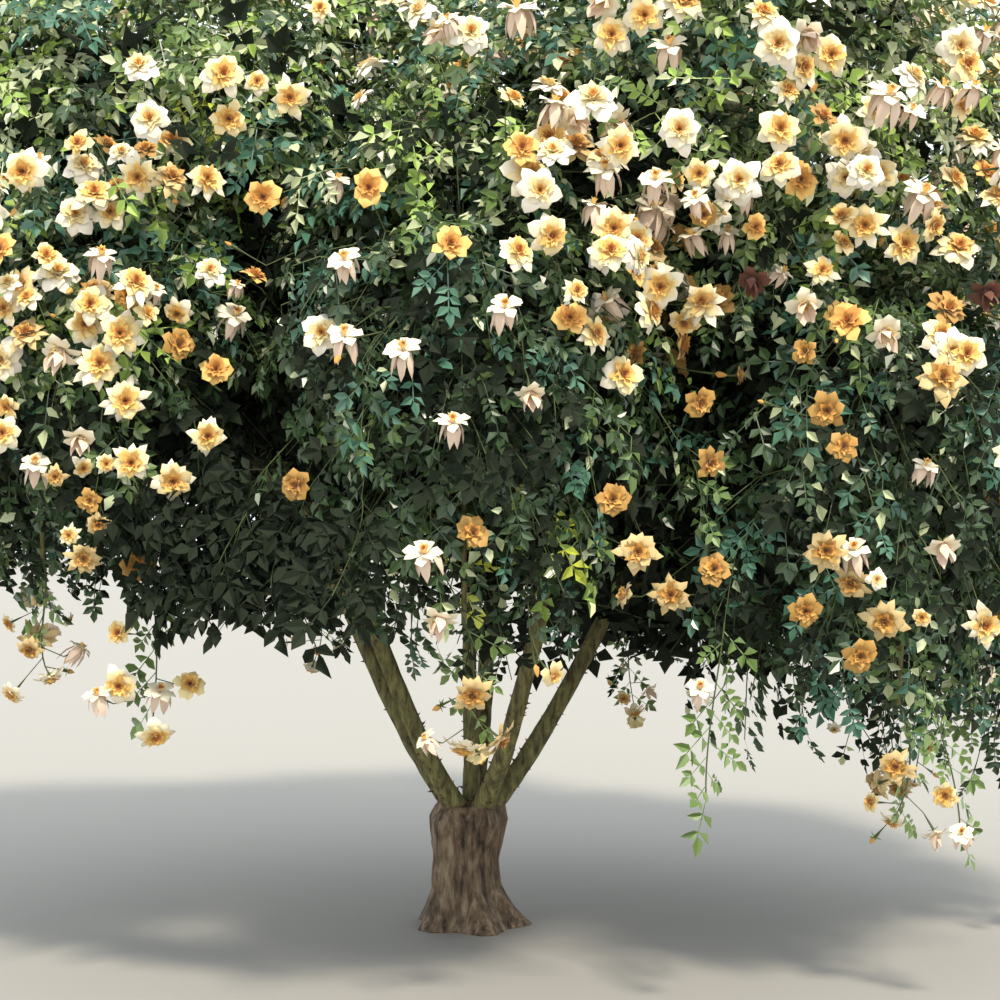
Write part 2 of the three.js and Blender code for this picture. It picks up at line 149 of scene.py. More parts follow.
# %% Sizes of the crown
UP = np.array([0.0, 0.0, 1.0])
HALF_WIDTH, HALF_DEPTH = 1.5, 1.08
CROWN_HEART = np.array([0.0, 0.0, 0.95])
CANE_COUNT, CANE_AZIMUTH = 5, 28
CURTAIN_COUNT, CURTAIN_AZIMUTH = 9, -40
TOP_HEIGHT, TOP_RADII = 1.71, (0.62, 0.52, 0.43)
UPPER_HEIGHT, UPPER_REACH, UPPER_RADII = 1.59, 0.56, (0.6, 0.5, 0.48)
CURTAIN_TOP, CURTAIN_REACH, CURTAIN_SPREAD = 1.68, 0.7, (0.425, 0.345)
HEM_HIGH, HEM_LOW, HEM_SWEEP, LOWEST_AZIMUTH = 0.75, 0.33, 1.5, 95
PARTING_AZIMUTH, PARTING_WIDTH, PARTING_SHRINK = -20, 21, 0.84
print("crown:", 2 * HALF_WIDTH, "by", 2 * HALF_DEPTH, "metres,", CURTAIN_COUNT, "masses in the curtain")

# %% Sizes of limbs and stems
Limb = namedtuple("Limb", "radii rise leaving entering")
LEADER = Limb((0.017, 0.009), 1, 0.3, 0.3)
CANE = Limb((0.021, 0.011), 0.62, 0.26, 0.3)
BRANCH = Limb((0.011, 0.007), 0.3, 0.12, 0.12)

Stem = namedtuple("Stem", "entry bend end rise")
TOP_STEM = Stem((0, -0.9), (0, 0), (0.3, 0.76), 1)
UPPER_STEM = Stem((-0.5, -0.86), (0, 0.3), (0.72, 0.42), 0.86)
CURTAIN_STEM = Stem((-0.82, -0.3), (0.6, 1.1), (0.35, -0.88), 0.7)
for name, limb in {"leader": LEADER, "cane": CANE, "branch": BRANCH}.items():
    print(name, "tapers from", limb.radii[0], "to", limb.radii[1], "metres in radius")


# %% Directions and places
def outward(azimuth):
    """Level unit vectors that point away from the trunk, at azimuths."""
    angle = np.radians(azimuth)
    return np.stack([np.sin(angle), -np.cos(angle), np.zeros_like(angle)], axis=-1)


def place(azimuth, reach, height):
    """A point at a height, and at a share of the crown's half width and depth."""
    return outward(azimuth) * reach * np.array([HALF_WIDTH, HALF_DEPTH, 0]) + UP * height


def leaning(azimuth, rise):
    """A unit vector that points outwards and rises."""
    return outward(azimuth) * math.sqrt(1 - rise * rise) + UP * rise


def apart(a, b):
    """The angle between two azimuths, from 0 to 180."""
    return abs((a - b + 180) % 360 - 180)


print("widest at the right:", place(90, 1, 0), "and deepest at the front:", place(0, 1, 0))

# %% One mass
JOINT_GAP, STEM_REACH = 0.0003, 0.4
Mass = namedtuple("Mass", "name azimuth centre radii entry heading end stem limb hangs")


def make_mass(name, azimuth, centre, radii, stem, limb, hangs=False):
    """An ellipsoid of foliage, and the curve of the stem that carries on from its limb."""
    out = outward(azimuth)
    radii = np.array(radii)
    spread = math.hypot(*(out * radii)[:2])

    def at(share):
        return centre + out * share[0] * spread + UP * share[1] * radii[2]

    heading = leaning(azimuth, stem.rise)
    entry, end = at(stem.entry), at(stem.end)
    start = entry + heading * JOINT_GAP
    second = start + heading * STEM_REACH * np.linalg.norm(end - entry)
    curve = [start, second, at(stem.bend), end]
    return Mass(name, azimuth, centre, radii, entry, heading, end, curve, limb, hangs)


TOP = make_mass("top", CURTAIN_AZIMUTH, UP * TOP_HEIGHT, TOP_RADII, TOP_STEM, LEADER)
print("the top mass starts at", TOP.entry.round(2), "where the leader ends")


# %% Upper masses and curtain
def hem_height(azimuth):
    """How high above the ground the curtain ends."""
    nearness = (1 + np.cos(np.radians(azimuth - LOWEST_AZIMUTH))) / 2
    return HEM_HIGH - (HEM_HIGH - HEM_LOW) * nearness**HEM_SWEEP


def upper_mass(index):
    azimuth = CANE_AZIMUTH + index * 360 / CANE_COUNT
    centre = place(azimuth, UPPER_REACH, UPPER_HEIGHT)
    return make_mass(f"upper_{index + 1}", azimuth, centre, UPPER_RADII, UPPER_STEM, CANE)


def curtain_mass(index):
    azimuth = CURTAIN_AZIMUTH + index * 360 / CURTAIN_COUNT
    drop = (CURTAIN_TOP - hem_height(azimuth)) / 2
    shrink = PARTING_SHRINK if apart(azimuth, PARTING_AZIMUTH) < PARTING_WIDTH else 1
    radii = [spread * shrink for spread in CURTAIN_SPREAD] + [drop]
    centre = place(azimuth, CURTAIN_REACH, CURTAIN_TOP - drop)
    return make_mass(f"curtain_{index + 1}", azimuth, centre, radii, CURTAIN_STEM, BRANCH, True)


UPPERS = [upper_mass(index) for index in range(CANE_COUNT)]
CURTAINS = [curtain_mass(index) for index in range(CURTAIN_COUNT)]
MASSES = [TOP] + UPPERS + CURTAINS
print("masses:", ", ".join(mass.name for mass in MASSES))

# %% Inside and outside the masses
CENTRES = np.array([mass.centre for mass in MASSES])
RADII = np.array([mass.radii for mass in MASSES])
HANGS = np.array([mass.hangs for mass in MASSES])


def depths(points):
    """How far out points are in every mass's ellipsoid, as squares: below 1 is inside."""
    return (((points[..., None, :] - CENTRES) / RADII) ** 2).sum(axis=-1)


def owned(number, points, reach, margin):
    """Whether a mass owns points: they are within its reach, and no other mass's middle is nearer."""
    all_depths = depths(points)
    own = all_depths[..., number]
    others = np.delete(all_depths, number, axis=-1).min(axis=-1)
    return (own <= reach * reach) & (others > own + margin)


def facing_out(number, points, skyward):
    """The way out of a mass, or of many, at points, turned a little to the sky."""
    return unit(unit((points - CENTRES[number]) / RADII[number] ** 2) + UP * skyward)


print("the crown's masses reach up to", round((CENTRES + RADII)[:, 2].max(), 2), "metres")

# %% [markdown]
# ## Curves and tubes
# Limbs, twigs and stalks are all smooth curves given by two, three or four control points. A helper
# works out points along many of them at once. Geometry Nodes then skin them: the points become a
# mesh of edges with a girth at each point, the tree turns the edges into curves, sweeps a circle of
# that girth along them, and can push the surface in and out by a noise, for bark. A tree like this
# is a tool to use again: limbs, twigs and stalks are skinned by the same one.

# %% Points along curves
def along_curve(controls, shares):
    """Points of Bezier curves at shares of the way along. Each control is one point, or one a curve."""
    level = [np.asarray(control, float)[..., None, :] for control in controls]
    shares = np.asarray(shares, float)[:, None]
    while len(level) > 1:
        level = [a + (b - a) * shares for a, b in zip(level, level[1:])]
    return level[0]


def whole_curve(controls, steps):
    return along_curve(controls, np.linspace(0, 1, steps))


def tangents(paths):
    return unit(np.gradient(paths, axis=-2))


print("the top mass's stem passes", along_curve(TOP.stem, [0.5])[0].round(2), "half way along")


# %% Helpers that build node trees
def outlet(source):
    """The socket that feeds a link: a node stands for its first output."""
    return source.outputs[0] if isinstance(source, bpy.types.Node) else source


def add_node(tree, kind, *feeds, **settings):
    """Adds a node. Feeds go into its first inputs. A setting is a property, or else an input."""
    node = tree.nodes.new(kind)
    for name in [name for name in settings if hasattr(node, name)]:
        setattr(node, name, settings.pop(name))
    inputs = {name: node.inputs[name.replace("_", " ").title()] for name in settings}
    for socket, value in [*zip(node.inputs, feeds), *((inputs[name], settings[name]) for name in inputs)]:
        source = outlet(value)
        if isinstance(source, bpy.types.NodeSocket):
            tree.links.new(source, socket)
        else:
            socket.default_value = value
    return node


def new_tree(name, **sizes):
    """A node tree with geometry in and out and an input for each size, and the sockets it is given."""
    tree = bpy.data.node_groups.new(name, "GeometryNodeTree")
    for label, kind in {"Geometry": "Geometry", **sizes}.items():
        tree.interface.new_socket(label, in_out="INPUT", socket_type="NodeSocket" + kind)
    tree.interface.new_socket("Geometry", in_out="OUTPUT", socket_type="NodeSocketGeometry")
    return tree, add_node(tree, "NodeGroupInput").outputs


def end_tree(tree, geometry, finish):
    """Makes what the tree grew real faces, gives them their finish, and hands them out."""
    real = add_node(tree, "GeometryNodeRealizeInstances", geometry)
    add_node(tree, "NodeGroupOutput", add_node(tree, "GeometryNodeSetMaterial", real, Material=finish))
    return tree


def named(tree, name, data_type):
    """The value that each point carries under a name."""
    return add_node(tree, "GeometryNodeInputNamedAttribute", data_type=data_type, Name=name)


# %% Helpers that build meshes
HELPER_VALUES = {"girth": "FLOAT", "along": "FLOAT_VECTOR", "facing": "FLOAT_VECTOR"}
HELPER_VALUES |= {"size": "FLOAT", "shape": "INT"}


def point_mesh(name, points, values):
    """A mesh of points that carry values for a tree to read."""
    mesh = bpy.data.meshes.new(name)
    mesh.vertices.add(len(points))
    mesh.vertices.foreach_set("co", points.astype(np.float32).ravel())
    for label, value in values.items():
        kind = HELPER_VALUES[label]
        data = mesh.attributes.new(label, kind, "POINT").data
        value = np.asarray(value, np.int32 if kind == "INT" else np.float32)
        data.foreach_set("vector" if kind == "FLOAT_VECTOR" else "value", value.ravel())
    return mesh


def mesh_of(name, points, faces):
    mesh = bpy.data.meshes.new(name)
    mesh.from_pydata([tuple(point) for point in points], [], faces)
    mesh.shade_smooth()
    return mesh


def run_tree(piece, tree, **inputs):
    """Runs a tree on a piece, turns the result into a plain mesh, and drops the helper values."""
    modifier = piece.modifiers.new(tree.name, "NODES")
    modifier.node_group = tree
    for item in tree.interface.items_tree:
        if item.name in inputs:
            modifier[item.identifier] = inputs[item.name]
    graph = bpy.context.evaluated_depsgraph_get()
    result = bpy.data.meshes.new_from_object(piece.evaluated_get(graph))
    piece.modifiers.clear()
    before, piece.data = piece.data, result
    bpy.data.meshes.remove(before)
    result.name = piece.name
    for name in set(HELPER_VALUES) & set(result.attributes.keys()):
        result.attributes.remove(result.attributes[name])
    return piece


def triangles(piece):
    return sum(len(face.vertices) - 2 for face in piece.data.polygons)


def ride_as(piece, nodes=()):
    """Every finished piece rides on the one body, and the solids it stands for are hidden."""
    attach(piece, "root")
    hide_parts(*nodes)
    print(f"{piece.name}: {triangles(piece)} triangles")
    return piece


# %% The tree that skins curves
def tube_tree():
    tree, given = new_tree("Skin of curves", Sides="Int", Relief="Float", Grain="Float", Finish="Material")
    curves = add_node(tree, "GeometryNodeMeshToCurve", given["Geometry"])
    circle = add_node(tree, "GeometryNodeCurvePrimitiveCircle", given["Sides"], radius=1.0)
    girth = named(tree, "girth", "FLOAT")
    skin = add_node(tree, "GeometryNodeCurveToMesh", curves, circle, scale=girth, fill_caps=True)
    lumps = add_node(tree, "ShaderNodeTexNoise", scale=given["Grain"], detail=3.0)
    centred = add_node(tree, "ShaderNodeMath", lumps, operation="SUBTRACT")
    depth = add_node(tree, "ShaderNodeMath", centred, given["Relief"], operation="MULTIPLY")
    normal = add_node(tree, "GeometryNodeInputNormal")
    push = add_node(tree, "ShaderNodeVectorMath", normal, operation="SCALE", scale=depth)
    moved = add_node(tree, "GeometryNodeSetPosition", skin, offset=push)
    return end_tree(tree, add_node(tree, "GeometryNodeSetShadeSmooth", moved), given["Finish"])


TUBES = tube_tree()
print(TUBES.name, "has", len(TUBES.nodes), "nodes")


def skin_paths(name, paths, girths, finish, sides, relief=0.0, grain=1.0, nodes=()):
    """A piece of tubes along a list of (curves, points, 3) arrays, with a girth at each point."""
    points = np.concatenate([block.reshape(-1, 3) for block in paths])
    girth = np.concatenate([np.broadcast_to(g, b.shape[:-1]).ravel() for b, g in zip(paths, girths)])
    mesh = point_mesh(name, points, {"girth": girth})
    numbers = np.split(np.arange(len(points)), np.cumsum([b.shape[0] * b.shape[1] for b in paths])[:-1])
    first = np.concatenate([n.reshape(b.shape[:2])[:, :-1].ravel() for n, b in zip(numbers, paths)])
    mesh.edges.add(len(first))
    mesh.edges.foreach_set("vertices", np.stack([first, first + 1], axis=-1).astype(np.int32).ravel())
    piece = new_object(name, mesh)
    run_tree(piece, TUBES, Sides=sides, Relief=relief, Grain=grain, Finish=finish)
    return ride_as(piece, nodes)


# %% [markdown]
# ## Bark, leaf and petal
# Old rose wood is grey-brown with long cracks, and young canes are green with brown streaks. Both
# get a noise that is stretched along the height, which drives the colour, the roughness and a bump.
# Leaves and petals are thousands of small faces, and a pattern would be lost on them. What the eye
# sees there is one tone beside another, so each tone is a plain finish of its own, and the sprays
# are dealt out among the tones. Leaves are glossy, which gives the white glints of the photograph,
# and petals have a soft sheen.

# %% Plain finishes and bark
BARK_STRETCH = 0.22
CRACK_SHARES = (0.36, 0.66)
CRACK_ROUGHNESS, RIDGE_ROUGHNESS = 0.95, 0.62
CRACK_DEPTH, BARK_ROUGHNESS = 0.004, 0.85


def colour(hexadecimal):
    """A colour as written for a screen, in the linear numbers that a material holds."""
    channels = [int(hexadecimal[start : start + 2], 16) / 255 for start in (0, 2, 4)]
    linear = [c / 12.92 if c <= 0.04045 else ((c + 0.055) / 1.055) ** 2.4 for c in channels]
    return (*linear, 1.0)


def plain_finish(name, tone, roughness, **sockets):
    finish = bpy.data.materials.new(name)
    finish.use_nodes = True
    inputs = finish.node_tree.nodes["Principled BSDF"].inputs
    inputs["Base Color"].default_value = finish.diffuse_color = colour(tone)
    inputs["Roughness"].default_value = roughness
    for socket, value in sockets.items():
        inputs[socket.replace("_", " ")].default_value = value
    return finish


def bark_finish(name, tones, grain, bump):
    """Cracked bark: a noise stretched upwards drives colour, roughness and relief."""
    finish = plain_finish(name, tones[1], BARK_ROUGHNESS)
    tree = finish.node_tree
    where = add_node(tree, "ShaderNodeTexCoord").outputs["Object"]
    stretched = add_node(tree, "ShaderNodeMapping", where, scale=(1, 1, BARK_STRETCH))
    cracks = add_node(tree, "ShaderNodeTexNoise", stretched, scale=grain, detail=6.0, roughness=0.65)
    tinted = add_node(tree, "ShaderNodeValToRGB", cracks)
    ramp = tinted.color_ramp.elements
    ramp[0].position, ramp[1].position = CRACK_SHARES
    ramp[0].color, ramp[1].color = colour(tones[0]), colour(tones[2])
    ramp.new(0.5).color = colour(tones[1])
    rough = add_node(tree, "ShaderNodeMapRange", cracks, to_min=CRACK_ROUGHNESS, to_max=RIDGE_ROUGHNESS)
    relief = add_node(tree, "ShaderNodeBump", Height=cracks, strength=bump, distance=CRACK_DEPTH)
    shader = tree.nodes["Principled BSDF"]
    for name, node in (("Base Color", tinted), ("Roughness", rough), ("Normal", relief)):
        tree.links.new(node.outputs[0], shader.inputs[name])
    return finish


OLD_BARK = bark_finish("old bark", ("30251c", "68553f", "99876f"), 55, 0.9)
CANE_BARK = bark_finish("cane bark", ("443a24", "6a673e", "8f8955"), 90, 0.5)
TWIG_GREEN = plain_finish("twig green", "4b592f", 0.6)
PRICKLE_RED = plain_finish("prickle red", "6d3a28", 0.45)
print("wood finishes:", len(bpy.data.materials))


# %% Tones of leaves and petals
def pairs(text):
    return [tuple(pair.split()) for pair in text.split(", ")]


# The pale tone is a painted glint, and the shade tone is painted shade: a near-black green.
LEAF_TONES = "deep 3b5231, mid 667e45, bluish 4c7660, fresh 99b45b, pale b9c299, yellow bcc548"
LEAF_FINISHES = {"shade": plain_finish("leaf in shade", "242c20", 0.8, Specular_IOR_Level=0.15)}
for tone, hexadecimal in pairs(LEAF_TONES):
    LEAF_FINISHES[tone] = plain_finish(f"leaf {tone}", hexadecimal, 0.32, Specular_IOR_Level=0.7)
# Straw and ochre are cream and apricot darkened with painted shade.
PETAL_TONES = "blush e3cab4, ivory f0e9da, cream f1e7cc, primrose f0dca4, gold ebc06c, "
PETAL_TONES += "apricot dea452, straw cfb57e, ochre b08740, orange c67e38, brown 6a3d2a"
PETAL_FINISHES = {}
for tone, hexadecimal in pairs(PETAL_TONES):
    PETAL_FINISHES[tone] = plain_finish(f"petal {tone}", hexadecimal, 0.6, Sheen_Weight=0.2)
print("tones:", ", ".join([*LEAF_FINISHES, *PETAL_FINISHES]))

# %% [markdown]
# ## The trunk
# A rose trunk is short and gnarled: a lobed flare where the roots leave, a waist, and a swollen
# knuckle that every cane springs from. It could be sculpted, but a turned profile with waves says
# the same: rings of points at many heights, each ring's radius swelled by the lobes of the flare, by
# a lobe under each cane, and by noise that is stretched upwards, so that the relief runs in fibres.
# Its foot is a flat cut.

# %% Trunk
TRUNK_TOP, KNUCKLE_HEIGHT, TRUNK_LEAN = 0.262, 0.222, -0.018
TRUNK_HEIGHTS = (0, 0.034, 0.082, 0.14, KNUCKLE_HEIGHT, 0.25, TRUNK_TOP)
TRUNK_RADII = (0.108, 0.0864, 0.0691, 0.064, 0.078, 0.066, 0.042)
ROOT_LOBES, LOBE_DEPTH = 5, 0.17
KNUCKLE_FOOT, KNUCKLE_SWELL = 0.13, 0.011
TRUNK_SIDES, TRUNK_RINGS = 112, 54
FIBRE_GRAIN, FIBRE_DEPTH = (4.5, 9), 0.0045
KNOT_GRAIN, KNOT_DEPTH, KNOT_START = (1.4, 12), 0.006, 7


def grain_at(height, angle, grain, start=0):
    """Where the noise is read on the trunk. The grain says how fast it changes around and upwards."""
    around, up = grain
    return Vector((math.cos(angle) * around, math.sin(angle) * around, height * up + start))


def trunk_radius(height, angle):
    lobe = LOBE_DEPTH * (1 - min(1, height / KNUCKLE_HEIGHT))
    fibre = grain_at(height, angle, FIBRE_GRAIN)
    ridges = 1 - 2 * abs(noise.noise(fibre)) - 0.6 * abs(noise.noise(fibre * 2.3))
    knots = noise.noise(grain_at(height, angle, KNOT_GRAIN, KNOT_START))
    relief = FIBRE_DEPTH * ridges + KNOT_DEPTH * knots
    from_cane = angle + math.radians(90 - CANE_AZIMUTH)
    swell = max(0, height - KNUCKLE_FOOT) / (TRUNK_TOP - KNUCKLE_FOOT)
    relief += KNUCKLE_SWELL * swell * math.cos(from_cane * CANE_COUNT)
    turned = np.interp(height, TRUNK_HEIGHTS, TRUNK_RADII)
    return turned * (1 + lobe * math.cos(angle * ROOT_LOBES)) + relief


def trunk_mesh():
    points, faces = [], []
    for height in np.linspace(0, TRUNK_TOP, TRUNK_RINGS):
        lean = TRUNK_LEAN * math.sin(math.pi * height / TRUNK_TOP)
        for angle in np.linspace(0, math.tau, TRUNK_SIDES, endpoint=False):
            radius = trunk_radius(height, angle)
            points.append((lean + math.cos(angle) * radius, math.sin(angle) * radius, height))
    for here in range(len(points) - TRUNK_SIDES):
        beside = here + 1 - TRUNK_SIDES * (here % TRUNK_SIDES == TRUNK_SIDES - 1)
        faces.append((here, beside, beside + TRUNK_SIDES, here + TRUNK_SIDES))
    faces.append(tuple(reversed(range(TRUNK_SIDES))))
    faces.append(tuple(range(len(points) - TRUNK_SIDES, len(points))))
    return mesh_of("trunk_bark", points, faces)


trunk = new_object("trunk_bark", trunk_mesh())
trunk.data.materials.append(OLD_BARK)
ride_as(trunk, ["trunk"])

# %% [markdown]
# ## Leader, canes and branches
# A limb leaves its foot in one direction, enters its mass in another, and tapers all the way. The
# sizes are the solids' own. A real cane also swells at its foot and a little at each old leaf scar,
# so both are added to its girth, and the tree's noise roughens the skin.

# %% Limbs
LIMB_SEED = 3
LIMB_STEPS, SCARS_ON_LIMB, SCAR_SWELL = 48, 9, 0.07
FOOT_SWELL, FOOT_FADE = 0.5, 0.06
LIMB_SWAY, SWAY_WAVES = 0.012, (2, 3, 5)
FOOT = UP * (KNUCKLE_HEIGHT - 0.012)


def limb_controls(foot, mass):
    limb = mass.limb
    leaving = foot + leaning(mass.azimuth, limb.rise) * limb.leaving
    return [foot, leaving, mass.entry - mass.heading * limb.entering, mass.entry]


def swayed(paths, rng):
    """Paths that wander a little between their ends, as a real cane does."""
    shares = np.linspace(0, 1, paths.shape[1])
    sway = np.zeros_like(paths)
    for waves in SWAY_WAVES:
        size = rng.uniform(-LIMB_SWAY, LIMB_SWAY, (len(paths), 1, 3)) / waves
        sway += size * np.sin(math.pi * waves * shares)[:, None]
    return paths + sway * np.sin(math.pi * shares)[:, None]


def limb_girth(radii):
    shares = np.linspace(0, 1, LIMB_STEPS)
    scars = 1 + SCAR_SWELL * np.maximum(0, np.cos(shares * math.tau * SCARS_ON_LIMB)) ** 6
    foot = 1 + FOOT_SWELL * np.exp(-shares / FOOT_FADE)
    return np.interp(shares, [0, 1], radii) * scars * foot


# %% Grow and skin the limbs
BRANCH_FEET = [0.66, 0.54]

main_limbs = [limb_controls(FOOT, mass) for mass in [TOP] + UPPERS]
branch_limbs = []
for index, mass in enumerate(CURTAINS):
    nearest = min(range(CANE_COUNT), key=lambda cane: apart(UPPERS[cane].azimuth, mass.azimuth))
    foot = along_curve(main_limbs[1 + nearest], [BRANCH_FEET[index % len(BRANCH_FEET)]])[0]
    branch_limbs.append(limb_controls(foot, mass))
limb_paths = np.array([whole_curve(curve, LIMB_STEPS) for curve in main_limbs + branch_limbs])
limb_paths = swayed(limb_paths, np.random.default_rng(LIMB_SEED))
limb_girths = np.array([limb_girth(mass.limb.radii) for mass in MASSES])
LIMB_NODES = ["leader"] + [f"cane_{n + 1}" for n in range(CANE_COUNT)]
BRANCH_NODES = [f"branch_{n + 1}" for n in range(CURTAIN_COUNT)]


def skin_limbs(name, part, sides, relief, grain, nodes):
    return skin_paths(name, [limb_paths[part]], [limb_girths[part]], CANE_BARK, sides, relief, grain, nodes)


canes = skin_limbs("canes_bark", slice(0, len(main_limbs)), 16, 0.006, 70.0, LIMB_NODES)
branches = skin_limbs("branches_bark", slice(len(main_limbs), None), 10, 0.003, 90.0, BRANCH_NODES)

# %% [markdown]
# ## Shapes dealt out on points
# Leaves, petals, buds and prickles are each one small shape, repeated. A second tree deals them out:
# every point of a mesh carries the direction the shape grows in, the direction it faces, a size and
# the number of the shape it gets. The tree turns the two directions into a rotation, puts the shapes
# on the points and makes them real faces.

# %% The tree that deals out shapes
def deal_tree():
    tree, given = new_tree("Shapes on points", Shapes="Collection", Finish="Material")
    shapes = add_node(
        tree, "GeometryNodeCollectionInfo", given["Shapes"], separate_children=True, reset_children=True
    )
    facing, along = named(tree, "facing", "FLOAT_VECTOR"), named(tree, "along", "FLOAT_VECTOR")
    turn = add_node(
        tree, "FunctionNodeAxesToRotation", facing, along, primary_axis="Z", secondary_axis="Y"
    )
    dealt = add_node(
        tree,
        "GeometryNodeInstanceOnPoints",
        given["Geometry"],
        Instance=shapes,
        Pick_Instance=True,
        Instance_Index=named(tree, "shape", "INT"),
        Rotation=turn,
        Scale=named(tree, "size", "FLOAT"),
    )
    return end_tree(tree, dealt, given["Finish"])


DEAL = deal_tree()
print(DEAL.name, "has", len(DEAL.nodes), "nodes")

# %% Spots for shapes
Spots = namedtuple("Spots", "at along facing size shape")


def spots(at, along, facing, size, shape):
    """Places for shapes. Facing is turned square to along, which keeps its direction."""
    along = unit(np.broadcast_to(along, at.shape))
    facing = unit(facing - along * (facing * along).sum(axis=-1, keepdims=True))
    return Spots(at, along, facing, np.broadcast_to(size, len(at)), np.broadcast_to(shape, len(at)))


def chosen(some, keep):
    return Spots(*(field[keep] for field in some))


def together(several):
    return Spots(*(np.concatenate(fields) for fields in zip(*several)))


def deal_out(name, some, shapes, finish):
    """A piece of shapes on their spots."""
    print(name, "has", len(some.at), "shapes")
    piece = new_object(name, point_mesh(name, some.at, dict(zip(some._fields[1:], some[1:]))))
    return ride_as(run_tree(piece, DEAL, Shapes=shapes, Finish=finish))


def shape_set(name, meshes):
    """A collection of shapes, numbered in the order of their names."""
    collection = bpy.data.collections.new(name)
    for number, mesh in enumerate(meshes):
        collection.objects.link(bpy.data.objects.new(f"{name}_{number:02d}", mesh))
    return collection


# %% [markdown]
# ## How a mass grows
# The stem of a mass bears main twigs. Their tips are spread evenly over the mass's skin, and each
# twig starts on the stem a little before the nearest point, rises and droops. That is the solids'
# rule, with more twigs. Each twig then bears shoots all along its outer part, turned by the golden
# angle and pulled outwards, and each shoot bears leaves. Twigs and shoots may reach a little way in
# among those of the next mass. A twig that would reach further is left out, and a shoot shortened.

# %% Directions that spread evenly
SEED = 11
GOLDEN_ANGLE = 180 * (3 - math.sqrt(5))


def spread_directions(count):
    """Directions spread evenly over a ball."""
    index = np.arange(count)
    height = 1 - (2 * index + 1) / count
    return outward(index * GOLDEN_ANGLE) * np.sqrt(1 - height**2)[:, None] + UP * height[:, None]


print("golden angle:", round(GOLDEN_ANGLE, 1), "degrees")

# %% Main twigs
TWIGS_IN_MASS, TWIG_STEPS = 54, 7
TWIG_TIP_SHARES, TWIG_JITTER = (0.74, 0.9), 0.12
TWIG_ARCH, TWIG_BEND, TWIG_MARGIN = 0.16, 0.55, -0.25
FIRST_TWIG, TWIG_BACKSET, STEM_SAMPLES = 0.2, 0.15, 25
OPEN_ANGLE, OPEN_DEPTH = -0.05, 0.4


def twig_paths(number, rng):
    """Main twigs of a mass, and whether each is on the crown's outside."""
    mass = MASSES[number]
    jitter = rng.uniform(-TWIG_JITTER, TWIG_JITTER, (TWIGS_IN_MASS, 3))
    aims = unit(spread_directions(TWIGS_IN_MASS) + jitter)
    tips = mass.centre + mass.radii * aims * rng.uniform(*TWIG_TIP_SHARES, (TWIGS_IN_MASS, 1))
    shares = np.linspace(0, 1, STEM_SAMPLES)
    stem = along_curve(mass.stem, shares)
    nearest = shares[np.linalg.norm(tips[:, None] - stem, axis=-1).argmin(axis=1)]
    from_share = np.maximum(FIRST_TWIG, nearest - TWIG_BACKSET)
    feet = np.stack([np.interp(from_share, shares, axis) for axis in stem.T], axis=-1)
    reach = np.linalg.norm(tips - feet, axis=-1, keepdims=True)
    middles = feet + (tips - feet) * TWIG_BEND + UP * TWIG_ARCH * reach
    paths = whole_curve([feet, middles, tips], TWIG_STEPS)
    other_depths = np.delete(depths(tips), number, axis=-1).min(axis=-1)
    outside = (unit(tips - CROWN_HEART) * aims).sum(axis=-1) > OPEN_ANGLE
    keep = owned(number, paths[:, 1:], 1, TWIG_MARGIN).all(axis=-1)
    return paths[keep], (outside & (other_depths > OPEN_DEPTH))[keep]


# %% Shoots
SHOOTS_ON_TWIG, SHOOTS_ON_SHADED_TWIG = 8, 3
FIRST_SHOOT, SHOOT_STEPS, SHOOT_PLACES, SHOOT_TURN = 0.25, 3, (0.2, 0.8), 0.5
SHOOT_LENGTHS, SHOOT_REACHES, SHOOT_MARGIN = (0.09, 0.2), (1.0, 1.17), -0.4
SHOOT_SAG, HANGING_SHOOT_SAG = 0.12, 0.42
SHOOT_FORWARD, SHOOT_SIDEWAYS, SHOOT_OUTWARD, SHOOT_JITTER = 0.75, (0.4, 0.9), 0.45, 0.25
SHOOT_BEND, SHORTENINGS, SHORTER, SKYWARD = 0.55, 3, 0.65, 0.25


def spun(tangent, angle, facing):
    """Unit vectors square to tangents, turned about them by an angle from the side that faces out."""
    across = unit(np.cross(tangent, facing))
    square = np.cross(across, tangent)
    return across * np.sin(angle)[..., None] + square * np.cos(angle)[..., None]


